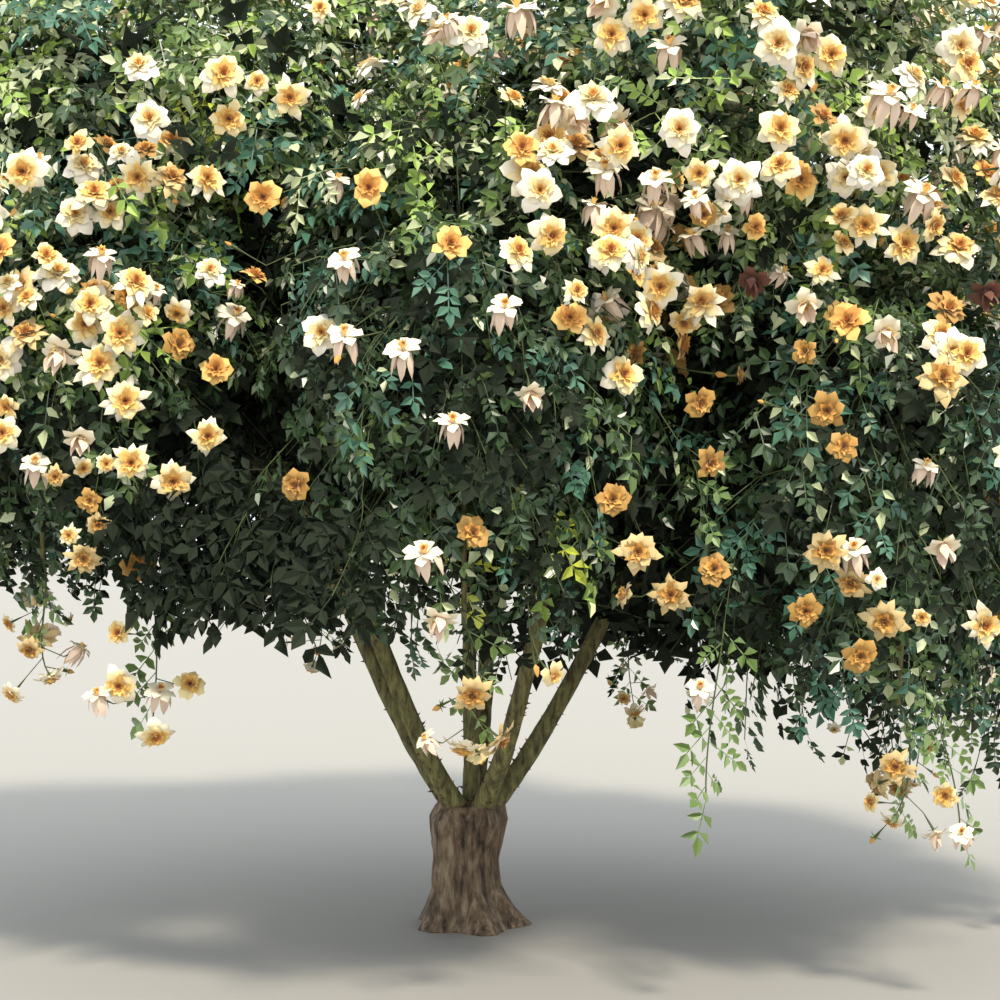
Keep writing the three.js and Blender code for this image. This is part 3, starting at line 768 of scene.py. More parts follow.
def shoot_paths(number, twigs, count, rng):
    """Shoots on the twigs of a mass, each shortened until its tip is in reach."""
    shares = (np.arange(count) + rng.uniform(*SHOOT_PLACES, (len(twigs), count))) / count
    position = (FIRST_SHOOT + (1 - FIRST_SHOOT) * shares) * (TWIG_STEPS - 1)
    low = np.minimum(position.astype(int), TWIG_STEPS - 2)
    part = (position - low)[..., None]
    rows = np.arange(len(twigs))[:, None]
    bases = twigs[rows, low] * (1 - part) + twigs[rows, low + 1] * part
    tangent = tangents(twigs)[rows, low]
    facing = facing_out(number, bases, SKYWARD)
    turn = rng.uniform(-SHOOT_TURN, SHOOT_TURN, (len(twigs), 1))
    angle = np.radians(GOLDEN_ANGLE) * np.arange(count) + turn
    side = spun(tangent, angle, facing)
    sideways = side * rng.uniform(*SHOOT_SIDEWAYS, side.shape[:2])[..., None]
    push = tangent * SHOOT_FORWARD + sideways + facing * SHOOT_OUTWARD
    heading = unit(push + rng.uniform(-SHOOT_JITTER, SHOOT_JITTER, push.shape))
    length = rng.uniform(*SHOOT_LENGTHS, side.shape[:2])[..., None]
    sag = HANGING_SHOOT_SAG if MASSES[number].hangs else SHOOT_SAG
    bases, heading, length = (block.reshape(-1, block.shape[-1]) for block in (bases, heading, length))
    reach = rng.uniform(*SHOOT_REACHES, len(bases))
    tips = bases + heading * length - UP * sag * length
    for _ in range(SHORTENINGS):
        in_reach = owned(number, tips, reach, SHOOT_MARGIN)[:, None]
        length = np.where(in_reach, length, length * SHORTER)
        tips = bases + heading * length - UP * sag * length
    middles = bases + heading * length * SHOOT_BEND
    keep = owned(number, tips, reach, SHOOT_MARGIN)
    return whole_curve([bases, middles, tips], SHOOT_STEPS)[keep]


# %% Grow every mass
Growth = namedtuple("Growth", "paths mass open_air")
STEM_STEPS, STEM_TIP_RADIUS = 24, 0.0045


def grow_all(rng):
    twigs, shoots = [], []
    for number in range(len(MASSES)):
        paths, is_open = twig_paths(number, rng)
        twigs.append(Growth(paths, np.full(len(paths), number), is_open))
        for air, count in ((True, SHOOTS_ON_TWIG), (False, SHOOTS_ON_SHADED_TWIG)):
            grown = shoot_paths(number, paths[is_open == air], count, rng)
            shoots.append(Growth(grown, np.full(len(grown), number), np.full(len(grown), air)))
    return [Growth(*(np.concatenate(field) for field in zip(*group))) for group in (twigs, shoots)]


rng = np.random.default_rng(SEED)
twigs, shoots = grow_all(rng)
stem_paths = np.array([whole_curve(mass.stem, STEM_STEPS) for mass in MASSES])
stem_girths = [np.linspace(mass.limb.radii[1], STEM_TIP_RADIUS, STEM_STEPS) for mass in MASSES]
print("twigs:", len(twigs.paths), "shoots:", len(shoots.paths), "open:", int(shoots.open_air.sum()))

# %% The tangle inside the crown
TANGLE_FEET, TANGLE_LENGTHS = 50, (0.15, 0.5)
TANGLE_RISE, TANGLE_ARCH = 0.2, 0.1
TANGLE_DEPTH, TANGLE_REACH, TANGLE_CLEARANCE = 0.85, 0.5, 0.2


def above_hem(points):
    """How far points are above the curtain's hem."""
    return points[:, 2] - hem_height(np.degrees(np.arctan2(points[:, 0], -points[:, 1])))


def inside_crown(points):
    """Whether points are within the masses or in the hollow behind them, and above the hem."""
    reach = np.hypot(points[:, 0] / HALF_WIDTH, points[:, 1] / HALF_DEPTH)
    within = (depths(points).min(axis=-1) < TANGLE_DEPTH**2) | (reach < TANGLE_REACH)
    return within & (points[:, 2] < TOP_HEIGHT) & (above_hem(points) > TANGLE_CLEARANCE)


def tangle_paths(rng):
    """Thin shoots from the upper half of every limb and from every stem, in all directions."""
    bearers = [*limb_paths[:, LIMB_STEPS // 2 :], *stem_paths]
    feet = np.concatenate([path[rng.integers(len(path), size=TANGLE_FEET)] for path in bearers])
    heading = unit(rng.normal(size=feet.shape) + UP * TANGLE_RISE)
    length = rng.uniform(*TANGLE_LENGTHS, len(feet))[:, None]
    tips = feet + heading * length
    middles = feet + heading * length * 0.5 + UP * TANGLE_ARCH * length
    return whole_curve([feet, middles, tips], SHOOT_STEPS)[inside_crown(tips)]


tangle = tangle_paths(rng)
print("shoots in the tangle:", len(tangle))

# %% [markdown]
# ## Where flowers are thick and where the leaf tones paint light and shade
# In the photograph flowers are thick at the upper right and along a band from the upper left down
# to the left edge, and thin towards the hem and in the shaded middle. Each zone is a soft round patch
# in the photograph, with a share of flowering shoots. The back of the bush, which nobody has
# photographed, gets the same drifts as if seen from behind, down to half as thick, as it stands away
# from the sun. Zones also say where the leaf tones paint light and where they paint shade.

# %% Zones
Zone = namedtuple("Zone", "across down width height share")


def zones(*rows):
    return [Zone(*row) for row in rows]


FLOWER_ZONES = zones((810, 90, 245, 165, 4.5), (610, 90, 100, 110, 0.4), (940, 280, 90, 160, 1.3))
FLOWER_ZONES += zones((590, 260, 90, 90, 0.25), (150, 150, 150, 90, 0.5), (60, 290, 120, 120, 0.8))
FLOWER_ZONES += zones((160, 400, 90, 60, 0.15), (430, 290, 80, 80, 0.15), (280, 40, 160, 60, 0.35))
SCATTERED_SHARE, SHARE_AT_BACK = 0.03, 0.5
# In shade zones the leaf tones paint shade, and in bright zones they paint light.
SHADE_ZONES = zones((345, 500, 150, 120, 0.95))
DIM_ZONES = zones((430, 400, 160, 140, 0.5))
BRIGHT_ZONES = zones((790, 100, 260, 180, 0.65), (90, 220, 200, 190, 0.4), (120, 60, 220, 110, 0.45))
BRIGHT_ZONES += zones((690, 340, 150, 130, 0.3), (700, 570, 160, 110, 0.15))
YELLOW_ZONES = zones((480, 540, 90, 30, 0.35), (205, 98, 70, 30, 0.5))
LIT_FROM, LIT_SHARE = 0.85, 0.8


def patches(some_zones, points):
    """How strongly zones count at points: each its share at its middle, fading outwards.

    Points on the front half are seen as they are, and those on the back half at the mirrored place.
    """
    pixels = pixels_of(np.where(points[:, 1:2] > 0, points * [-1, -1, 1], points))
    total = 0
    for zone in some_zones:
        across = (pixels[:, 0] - zone.across) / zone.width
        down = (pixels[:, 1] - zone.down) / zone.height
        total = total + zone.share * np.exp(-(across**2 + down**2))
    return total


def flower_share(points):
    share = SCATTERED_SHARE + patches(FLOWER_ZONES, points)
    share *= np.interp(points[:, 1], [0, HALF_DEPTH], [1, SHARE_AT_BACK])
    return share * (1 - patches(SHADE_ZONES, points))


def brightness(points):
    """How much light the leaves at points get, from 0 to 1, for the tones that paint it."""
    lit = LIT_SHARE * np.clip(points[:, 2] - LIT_FROM, 0, 1) + patches(BRIGHT_ZONES, points)
    return np.clip(lit - patches(SHADE_ZONES, points) - patches(DIM_ZONES, points), 0, 1)


print("flowering shoots by the zones:", round(flower_share(shoots.paths[:, -1]).sum()))

# %% [markdown]
# ## Petals
# The rose is double: a rim of broad pointed petals that roll back, a ring of guard petals, two rings
# of cupped petals, a crowded core and a tight heart. A petal is a small sheet with a rounded middle,
# given by where its midline runs, how wide it is and how its edges lift. Each ring is one shape, and
# a flower is a few rings in different tones, palest outside, as in the photograph. Flowers in the
# shade, low in the crown, get ochre and straw tones, apricot and cream darkened with painted shade.
# Old ones fade to ivory, and the spent ones hang in a tassel of limp petals. A bud is a ring that
# closes again, and the calyx under each flower is a ring of narrow sepals.

# %% Petal rings
Ring = namedtuple("Ring", "petals reach height width lift rag")
RIM_REACH, RIM_HEIGHT = (0.06, 0.42, 0.8, 1.04, 1.2), (0, 0.14, 0.16, 0.02, -0.18)
LIMP_REACH, LIMP_HEIGHT = (0.06, 0.4, 0.6, 0.68, 0.66), (0.1, 0.18, -0.2, -0.66, -1.15)
TASSEL_REACH, TASSEL_HEIGHT = (0.06, 0.26, 0.42, 0.46, 0.4), (0, 0.34, 0.76, 1.05, 1.35)
RINGS = {
    "rim": Ring(6, RIM_REACH, RIM_HEIGHT, (0.29, 0.42, 0.29), -0.12, 1.2),
    "star": Ring(9, (0.06, 0.5, 0.92, 1.2), (0, 0.15, 0.12, -0.16), (0.23, 0.24), -0.12, 1.9),
    "guard": Ring(7, (0.05, 0.42, 0.8, 1.0), (0.04, 0.27, 0.34, 0.18), (0.27, 0.33), -0.04, 1.3),
    "cup": Ring(8, (0.05, 0.48, 0.76), (0.06, 0.4, 0.45), (0.24,), 0.05, 1.4),
    "inner": Ring(9, (0.04, 0.34, 0.5), (0.1, 0.5, 0.56), (0.17,), 0.05, 1.5),
    "core": Ring(7, (0.03, 0.18, 0.3), (0.14, 0.44, 0.62), (0.13,), 0.06, 1.5),
    "heart": Ring(5, (0.02, 0.09, 0.12), (0.16, 0.44, 0.6), (0.09,), 0.04, 1.5),
    "limp": Ring(6, LIMP_REACH, LIMP_HEIGHT, (0.2, 0.28, 0.18), -0.06, 2.2),
    "tassel": Ring(5, TASSEL_REACH, TASSEL_HEIGHT, (0.2, 0.27, 0.16), -0.06, 3),
    "bud": Ring(4, (0.02, 0.17, 0.15, 0.03), (0, 0.22, 0.5, 0.82), (0.16, 0.13), 0, 0.3),
    "calyx": Ring(5, (0.04, 0.2, 0.44), (-0.02, -0.05, -0.16), (0.08,), 0, 1.5),
}
RING_NAMES, RING_FORMS = list(RINGS), 5
FLOWER_RADIUS = 0.035
print("rings:", ", ".join(RING_NAMES))

# %% Petals that make the rings
PETAL_SPREADS = {"longer": (-0.15, 0.11), "wider": (-0.16, 0.12), "raised": (-0.13, 0.12)}
PETAL_SPREADS |= {"skewed": (-0.14, 0.14), "twisted": (-0.35, 0.35)}
PETAL_SHIFT, EDGE_TUCK = 0.2, 0.06


def petal(ring, turn, draw):
    """One petal: a point at its root, rows of three points, and a point at its tip."""
    out = np.array([math.cos(turn), math.sin(turn), 0])
    across = np.array([-math.sin(turn), math.cos(turn), 0])
    longer, wider, raised, skewed, twisted = (draw.uniform(*s) for s in PETAL_SPREADS.values())
    longer, raised, skewed = 1 + longer * ring.rag, raised * ring.rag, skewed * ring.rag
    middles = [
        out * reach * longer + UP * (height + raised * reach) + across * skewed * reach
        for reach, height in zip(ring.reach, ring.height)
    ]
    points = [middles[0]]
    for step, (middle, half) in enumerate(zip(middles[1:-1], ring.width)):
        share = (step + 1) / len(ring.width)
        edge = UP * ring.lift * share - out * EDGE_TUCK
        side = (across + UP * twisted * share) * half * (1 + wider)
        points += [middle - side + edge, middle, middle + side + edge]
    points.append(middles[-1])
    faces = [(0, 2, 1), (0, 3, 2)]
    last = len(points) - 4
    for row in range(1, last, 3):
        faces += [(row, row + 1, row + 4, row + 3), (row + 1, row + 2, row + 5, row + 4)]
    faces += [(last, last + 1, last + 3), (last + 1, last + 2, last + 3)]
    return [point * FLOWER_RADIUS for point in points], faces


def joined(name, parts):
    """One mesh from parts, each with its own points and faces."""
    points, faces = [], []
    for new_points, new_faces in parts:
        faces += [tuple(len(points) + corner for corner in face) for face in new_faces]
        points += new_points
    return mesh_of(name, points, faces)


def ring_mesh(name, draw):
    ring = RINGS[name]
    parts = []
    for number in range(ring.petals):
        turn = math.tau * number / ring.petals + draw.uniform(-PETAL_SHIFT, PETAL_SHIFT)
        parts.append(petal(ring, turn, draw))
    return joined(name, parts)


draw = np.random.default_rng(SEED + 2)
RING_SHAPES = shape_set("ring", [ring_mesh(name, draw) for name in RING_NAMES for _ in range(RING_FORMS)])

# %% Flowers as stacks of rings
FLOWER_KINDS = {
    "open": "rim cream, guard primrose, cup gold, inner gold, core apricot, heart orange",
    "starry": "star cream, guard primrose, cup gold, inner gold, core apricot, heart orange",
    "golden": "guard primrose, cup gold, inner gold, core apricot, heart orange",
    "apricot": "guard gold, cup apricot, inner apricot, core apricot, heart orange",
    # The ochre and shaded kinds are darker copies, painted shade for flowers low in the crown.
    "ochre": "guard ochre, cup ochre, inner apricot, core ochre, heart orange",
    "shaded": "star straw, guard straw, cup ochre, inner apricot, core ochre, heart orange",
    "pale": "rim ivory, guard cream, cup primrose, inner primrose, core gold, heart apricot",
    "half": "guard primrose, inner gold, core gold, heart apricot",
    "limp": "limp blush, guard cream, core gold, heart orange",
    "spent": "tassel blush, guard cream, inner primrose, heart gold",
    "dead": "tassel brown, guard brown, inner brown",
    "bud": "bud apricot",
}
KIND_NAMES = list(FLOWER_KINDS)
MIXED_KINDS = KIND_NAMES[:-2]
# Low down the odds favour the ochre and shaded kinds, whose darker tones paint shade.
HIGH_ODDS = np.array([0.22, 0.14, 0.14, 0.06, 0, 0, 0.24, 0.06, 0.12, 0.03])
LOW_ODDS = np.array([0.05, 0.06, 0.1, 0.1, 0.3, 0.24, 0.04, 0.04, 0.06, 0.02])
print("kinds of flower:", ", ".join(KIND_NAMES))

# %% [markdown]
# ## Placing the flowers
# Some flowers of the photograph stand out so much that they are placed one by one: the shoot nearest
# to the line of sight through the pixel bears them. The others follow shoot by shoot, with the
# zones' chances, one to five on a shoot where they are thick, and leave those that are there their
# room. A flower stands proud of the leaves on a short stalk that carries on from its shoot.

# %% Flowers that stand out
# Pixels of the photograph, read off it.
PLACED_FLOWERS = {
    "starry": [(172, 480), (132, 462), (207, 435), (290, 97), (485, 262), (613, 228), (865, 225)]
    + [(903, 245), (982, 625), (125, 400), (700, 60)],
    "open": [(85, 325), (222, 75), (438, 292), (622, 375), (660, 285), (610, 35), (645, 15), (845, 140)]
    + [(940, 335), (965, 65), (780, 130), (965, 355), (550, 235), (830, 55)],
    "apricot": [(265, 197), (216, 370), (570, 318), (368, 188), (450, 245), (800, 180)],
    # The ochre and shaded flowers are those in shade, which their darker tones paint.
    "ochre": [(298, 485), (472, 533), (613, 500), (698, 402), (805, 610), (715, 570), (138, 565)]
    + [(860, 655), (828, 410), (708, 462)],
    "shaded": [(638, 552), (672, 595), (885, 620), (825, 550)],
    "pale": [(740, 180), (680, 130), (735, 185), (960, 45), (75, 215), (150, 120), (950, 350)]
    + [(540, 190), (322, 333)],
    "limp": [(605, 172), (655, 182), (452, 425), (425, 556), (345, 262), (403, 352), (345, 338)]
    + [(505, 310), (855, 552), (35, 466), (745, 190), (235, 318)],
    "spent": [(530, 390), (440, 615), (80, 435), (942, 542)],
    "dead": [(752, 278), (985, 290)],
}
print("to be placed one by one:", sum(len(pixels) for pixels in PLACED_FLOWERS.values()))

# %% Shoots that may flower
FIT_DEPTH, FIT_HEIGHT, FRONT_DEPTH = 0.72, 0.12, 0.1

tips = shoots.paths[:, -1]
tip_along = tangents(shoots.paths)[:, -1]
tip_facing = facing_out(shoots.mass, tips, SKYWARD)
tip_depth = depths(tips)[np.arange(len(tips)), shoots.mass]
fit = np.flatnonzero(shoots.open_air & (tip_depth > FIT_DEPTH) & (tips[:, 2] > FIT_HEIGHT))
front = fit[tips[fit, 1] < FRONT_DEPTH]
print("shoots that may flower:", len(fit), "of them in front:", len(front))

# %% The garland: flowers with room between them
FLOWER_SPACING = 0.034
FLOWER_TURN = {"spent": (0.7, -0.8), "dead": (0.7, -0.8), "limp": (0.6, 0.8)}
Flower = namedtuple("Flower", "root at axis size kind")
garland = []


def is_free(centre):
    """Whether a place leaves the flowers that are there their room, large ones more."""
    others = np.array([flower.at for flower in garland])
    room = FLOWER_SPACING * (0.5 + np.array([flower.size for flower in garland]))
    return (np.linalg.norm(others - centre, axis=-1) > room).all()


def add_flower(root, centre, axis, size, kind):
    """Adds a flower where the box allows. Spent and dead ones look down, and limp ones up."""
    if kind in FLOWER_TURN:
        along, upward = FLOWER_TURN[kind]
        axis = unit(axis * along + UP * upward)
    if (centre > BOX_LOW).all() and (centre < BOX_HIGH).all():
        garland.append(Flower(root, centre, axis, size, KIND_NAMES.index(kind)))


print("room round a flower of size 1:", round(FLOWER_SPACING * 1.5, 3), "metres")


# %% Place the flowers that stand out
PLACED_SIZES = (0.84, 0.98)
NEAR_SIGHT, BEFORE_SHOOT = 0.09, 0.045
OFF_COST, FAR_COST = 4, 100
TURNED_OUT, TURNED_TO_CAMERA, PLACED_SPREAD = 0.5, 0.9, 0.35


def beside_sight(points, sight):
    """How far along a line of sight points lie, and how far off it."""
    away = points - CAMERA_AT
    reach = away @ sight
    return reach, np.linalg.norm(away - reach[:, None] * sight, axis=-1)


def shoot_on_sight(sight):
    """The front shoot whose tip lies nearest to a line of sight, and nearest to the camera."""
    reach, off = beside_sight(tips[front], sight)
    return front[np.argmin(off * OFF_COST + reach + FAR_COST * (off > NEAR_SIGHT))]


def place_one(sight, kind, rng):
    """A flower on a line of sight, just before the shoot that bears it and turned to the camera."""
    shoot = shoot_on_sight(sight)
    centre = CAMERA_AT + sight * ((tips[shoot] - CAMERA_AT) @ sight - BEFORE_SHOOT)
    axis = tip_facing[shoot] * TURNED_OUT - sight * TURNED_TO_CAMERA
    axis = unit(axis + rng.uniform(-PLACED_SPREAD, PLACED_SPREAD, 3))
    add_flower(tips[shoot], centre, axis, rng.uniform(*PLACED_SIZES), kind)


for kind, pixels in PLACED_FLOWERS.items():
    for sight in sight_through(pixels):
        place_one(sight, kind, rng)
print("flowers that stand out:", len(garland))

# %% Let the other shoots flower
STALK_LENGTHS = (0.038, 0.095)
FLOWER_SIZES, GROWTH_WHERE_THICK = (0.44, 0.88), 0.22
MOST_BESIDE, SURE_BESIDE = 4, 0.75
TIP_SPREAD, BESIDE_SPREAD, ONWARD = 0.3, 1.1, 0.6
AXIS_UPWARD, AXIS_ONWARD, AXIS_SPREAD = 0.2, 0.4, 0.55
BUD_CHANCE, BUD_UPWARD, BUD_SPREAD = 0.3, 0.5, 0.7
SHADED_BELOW, PALE_WITHIN = 0.5, 1.2


def random_kind(height, rng):
    """Pale flowers are commoner high up in the sun, and the ochre and shaded ones, painted shade, low down.
    """
    share = np.clip((height - SHADED_BELOW) / PALE_WITHIN, 0, 1)
    odds = HIGH_ODDS * share + LOW_ODDS * (1 - share)
    return MIXED_KINDS[rng.choice(len(odds), p=odds / odds.sum())]


def flower_shoot(shoot, chance, rng):
    """Flowers on a shoot, the first at its tip and the others beside it, and now and then a bud."""
    tip, along, facing = tips[shoot], tip_along[shoot], tip_facing[shoot]
    for number in range(1 + rng.binomial(MOST_BESIDE, min(SURE_BESIDE, chance))):
        spread = TIP_SPREAD if number == 0 else BESIDE_SPREAD
        heading = unit(facing + along * ONWARD + rng.uniform(-spread, spread, 3))
        centre = tip + heading * rng.uniform(*STALK_LENGTHS)
        if is_free(centre):
            kind = random_kind(centre[2], rng)
            axis = facing + UP * AXIS_UPWARD + heading * AXIS_ONWARD
            axis = unit(axis + rng.uniform(-AXIS_SPREAD, AXIS_SPREAD, 3))
            size = rng.uniform(*FLOWER_SIZES) + GROWTH_WHERE_THICK * min(1, chance)
            add_flower(tip, centre, axis, size, kind)
    if rng.random() < BUD_CHANCE:
        heading = unit(along + UP * BUD_UPWARD + rng.uniform(-BUD_SPREAD, BUD_SPREAD, 3))
        centre = tip + heading * rng.uniform(*STALK_LENGTHS)
        add_flower(tip, centre, heading, rng.uniform(*FLOWER_SIZES), "bud")


chances = flower_share(tips)
for shoot in rng.permutation(fit):
    if rng.random() <= chances[shoot]:
        flower_shoot(shoot, chances[shoot], rng)
print("flowers and buds:", len(garland))

# %% [markdown]
# ## Hanging sprays
# Each mass's stem ends in a spray: a thin stem that carries on and sags, with a flower at its tip
# and some on side stalks. The curtain's sprays hang below the hem, as in the photograph. The solids
# have them too, so the rule is theirs, with leaves and more stalks. Trails of the photograph hang out
# of the hem beside them, and in its recess hang trails whose leaves are painted shade. They leave the
# shoot nearest to a first pixel and end on the line of sight through a second.

# %% Sprays and trails
SPRAY_STEPS, SPRAY_SAG, SPRAY_SWAY = 12, 0.2, 0.035
SPRAY_LENGTH, HANGING_SPRAY_LENGTH = 0.2, 0.17
NEAR_END = 0.96
TRAIL_ENDS = [((122, 575), (152, 728)), ((690, 655), (706, 800)), ((925, 700), (960, 830))]
# Trails in the recess, whose leaves are painted shade.
SHADE_TRAIL_ENDS = [((160, 520), (168, 592)), ((186, 510), (192, 598)), ((175, 495), (178, 572))]
SHADE_TRAIL_ENDS += [((198, 492), (196, 578)), ((212, 500), (214, 590)), ((238, 505), (240, 600))]
SHADE_TRAIL_ENDS += [((205, 480), (229, 562)), ((248, 480), (216, 572)), ((266, 508), (272, 594))]
SHADE_TRAIL_ENDS += [((296, 512), (300, 606)), ((326, 520), (332, 596))]


def swaying(start, tip, rng):
    """A stem that sways a little on its way to its tip."""
    sway = [rng.uniform(-SPRAY_SWAY, SPRAY_SWAY, 3) for _ in range(2)]
    controls = [start, start * 0.66 + tip * 0.34 + sway[0], start * 0.3 + tip * 0.7 + sway[1], tip]
    return whole_curve(controls, SPRAY_STEPS)


def spray_stem(mass, rng):
    length = HANGING_SPRAY_LENGTH if mass.hangs else SPRAY_LENGTH
    heading = unit(mass.end - along_curve(mass.stem, [NEAR_END])[0])
    start = mass.end + heading * JOINT_GAP
    return swaying(start, start + heading * length - UP * SPRAY_SAG * length, rng)


def trail_stem(ends, rng):
    """A stem from the shoot nearest to one pixel down to the line of sight through another."""
    top_sight, tip_sight = sight_through(ends)
    start = tips[shoot_on_sight(top_sight)]
    reach = (start[1] - CAMERA_AT[1]) / tip_sight[1]
    return swaying(start, CAMERA_AT + tip_sight * reach, rng)


spray_stems = np.array([spray_stem(mass, rng) for mass in MASSES])
trail_stems = np.array([trail_stem(ends, rng) for ends in TRAIL_ENDS])
shade_stems = np.array([trail_stem(ends, rng) for ends in SHADE_TRAIL_ENDS])
print("sprays:", len(spray_stems), "trails:", len(trail_stems), "dark trails:", len(shade_stems))

# %% Flowers on sprays and trails
SPRAY_STALKS = (0.42, 0.58, 0.72, 0.84, 0.93)
SPRAY_KINDS, SPRAY_SIZES = ("open", "golden", "shaded", "limp", "spent", "bud"), (0.6, 0.85)
TRAIL_KINDS, TRAIL_SIZES = ("open", "golden", "limp"), (0.7, 0.9)
TRAIL_FLOWERS = [
    [(120, 633), (120, 685), (98, 697), (160, 693), (190, 685), (155, 733)],
    [(700, 690)],
    [(947, 795), (962, 835)],
]
BEFORE_TRAIL = 0.02
SPRAY_FRONT = np.array([0.0, -1.0, 0.2])
SPRAY_TURN, SPRAY_ONWARD, TRAIL_SPREAD, TRAIL_DOWNWARD = 0.4, 0.5, 0.5, 0.2


def dress_spray(stem, rng):
    """A flower at the stem's tip and small ones and buds on side stalks."""
    heading = unit(stem[-1] - stem[-3])
    add_flower(stem[-2], stem[-1], heading, rng.uniform(*FLOWER_SIZES), "open")
    for order, share in enumerate(SPRAY_STALKS):
        root = stem[round(share * (SPRAY_STEPS - 1))]
        turn = np.array(math.radians(GOLDEN_ANGLE) * order + rng.uniform(-SPRAY_TURN, SPRAY_TURN))
        axis = unit(spun(heading, turn, SPRAY_FRONT) + heading * SPRAY_ONWARD)
        kind = SPRAY_KINDS[rng.integers(len(SPRAY_KINDS))]
        centre = root + axis * rng.uniform(*STALK_LENGTHS)
        add_flower(root, centre, axis, rng.uniform(*SPRAY_SIZES), kind)


def dress_trail(stem, pixels, rng):
    """Flowers at the photograph's places, each on a stalk from the stem's nearest point."""
    for sight in sight_through(pixels):
        reach, off = beside_sight(stem, sight)
        nearest = int(np.argmin(off))
        centre = CAMERA_AT + sight * (reach[nearest] - BEFORE_TRAIL)
        kind = TRAIL_KINDS[rng.integers(len(TRAIL_KINDS))]
        axis = unit(rng.uniform(-TRAIL_SPREAD, TRAIL_SPREAD, 3) - sight - UP * TRAIL_DOWNWARD)
        add_flower(stem[nearest], centre, axis, rng.uniform(*TRAIL_SIZES), kind)


for stem in spray_stems:
    dress_spray(stem, rng)
for stem, pixels in zip(trail_stems, TRAIL_FLOWERS):
    dress_trail(stem, pixels, rng)
flowers = Flower(*(np.array(field) for field in zip(*garland)))
print("with sprays:", dict(zip(KIND_NAMES, np.bincount(flowers.kind).tolist())))

# %% [markdown]
# ## Twigs, shoots and stalks
# Everything thin goes through the tree that skins curves. A stalk leaves its shoot, bends to come in
# behind its flower, and swells at its end into the hip.

# %% Skin stems, twigs, shoots and stalks
STALK_GIRTHS, STALK_BEND = np.array([0.0011, 0.0011, 0.0034]), 0.03


def stalk_paths():
    length = np.linalg.norm(flowers.at - flowers.root, axis=-1, keepdims=True)
    behind = flowers.at - flowers.axis * np.minimum(0.5 * length, STALK_BEND)
    return whole_curve([flowers.root, behind, flowers.at], len(STALK_GIRTHS))


twig_girths = np.linspace(0.0042, 0.0018, TWIG_STEPS)
fine_paths = [shoots.paths, tangle, spray_stems, trail_stems, shade_stems]
fine_girths = [np.linspace(0.0017, 0.001, SHOOT_STEPS), 0.0018, np.linspace(0.0026, 0.0013, SPRAY_STEPS)]
fine_girths += [0.0016, 0.0012]
skin_paths("stems_bark", [stem_paths], [np.array(stem_girths)], CANE_BARK, 8, 0.002, 90.0)
skin_paths("twigs_main", [twigs.paths], [twig_girths], TWIG_GREEN, 3)
skin_paths("twigs_fine", fine_paths, fine_girths, TWIG_GREEN, 3)
skin_paths("stalks", [stalk_paths()], [STALK_GIRTHS], TWIG_GREEN, 3)

# %% [markdown]
# ## Dealing out the petals
# Each ring of each flower is one point for the tree that deals out shapes, turned its own way about
# the flower's axis. The rings of one tone, from all flowers, make one piece.

# %% Deal out petals and sepals
def ring_spots(mine, ring, rng):
    """Spots of one ring on the chosen flowers, turned at random about their axes."""
    axes = flowers.axis[mine]
    across = unit(np.cross(axes, unit(rng.normal(size=axes.shape))))
    shape = RING_NAMES.index(ring) * RING_FORMS + rng.integers(RING_FORMS, size=len(axes))
    return spots(flowers.at[mine], across, axes, flowers.size[mine], shape)


by_tone = {tone: [] for tone in PETAL_FINISHES}
for number, layers in enumerate(FLOWER_KINDS.values()):
    for ring, tone in pairs(layers):
        by_tone[tone].append(ring_spots(flowers.kind == number, ring, rng))
petals = [
    deal_out(f"petals_{tone}", together(found), RING_SHAPES, PETAL_FINISHES[tone])
    for tone, found in by_tone.items()
]
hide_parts(*(f"flowers_{mass.name}" for mass in MASSES))
sepals = ring_spots(flowers.kind != KIND_NAMES.index("dead"), "calyx", rng)
deal_out("sepals", sepals, RING_SHAPES, LEAF_FINISHES["mid"])

# %% [markdown]
# ## Leaves
# A rose leaf is a thin stalk with five or seven oval leaflets. A leaflet is three triangles: two
# halves that fold up from the midrib, each with its own points there, so that the light breaks at
# the fold. One half has a point more than the other, which rounds it. No two leaflets of a leaf lie
# in one plane, so only some of them catch the sun. Eight shapes are enough variety once each is
# turned its own way. Each is also there in two parts, so that two leaflets can take a painted glint
# in a dark leaf. Deep in the crown larger, plainer leaves stand for many, because only their darkness
# shows, but not close above the hem, where they would be seen against the floor. All hidden leaves
# get the near-black tone of painted shade. Leaves stand to the left and the right of a shoot in turn,
# face outwards and to the sky, and droop, more so on masses that hang.

# %% Leaf shapes
LEAFLET_OUTLINE = [[(0.28, 0.95), (0.68, 0.8)], [(0.48, 1.02)]]
SHADE_OUTLINE = [[(0.45, 1.0)], [(0.45, 1.0)]]
LEAF_LENGTH, STALK_LENGTH, STALK_HALF_WIDTH = 0.078, 0.66 * 0.078, 0.0008
LeafForm = namedtuple("LeafForm", "pairs length width fold curl droop outline")
LEAF_FORMS = [
    LeafForm(2, 0.028, 0.0165, 0.14, 0.1, 0.1, LEAFLET_OUTLINE),
    LeafForm(2, 0.029, 0.016, 0.3, 0.35, 0.35, LEAFLET_OUTLINE),
    LeafForm(2, 0.027, 0.0165, 0.5, 0.15, 0.2, LEAFLET_OUTLINE),
    LeafForm(3, 0.023, 0.013, 0.25, 0.2, 0.2, LEAFLET_OUTLINE),
]
SHADE_FORM = LeafForm(2, 0.031, 0.023, 0.2, 0.1, 0.2, SHADE_OUTLINE)
LEAF_VARIANTS = 2
SHADE_SHAPE = len(LEAF_FORMS) * LEAF_VARIANTS
DULL_SHAPES, GLINT_SHAPES = SHADE_SHAPE + 1, 2 * SHADE_SHAPE + 1


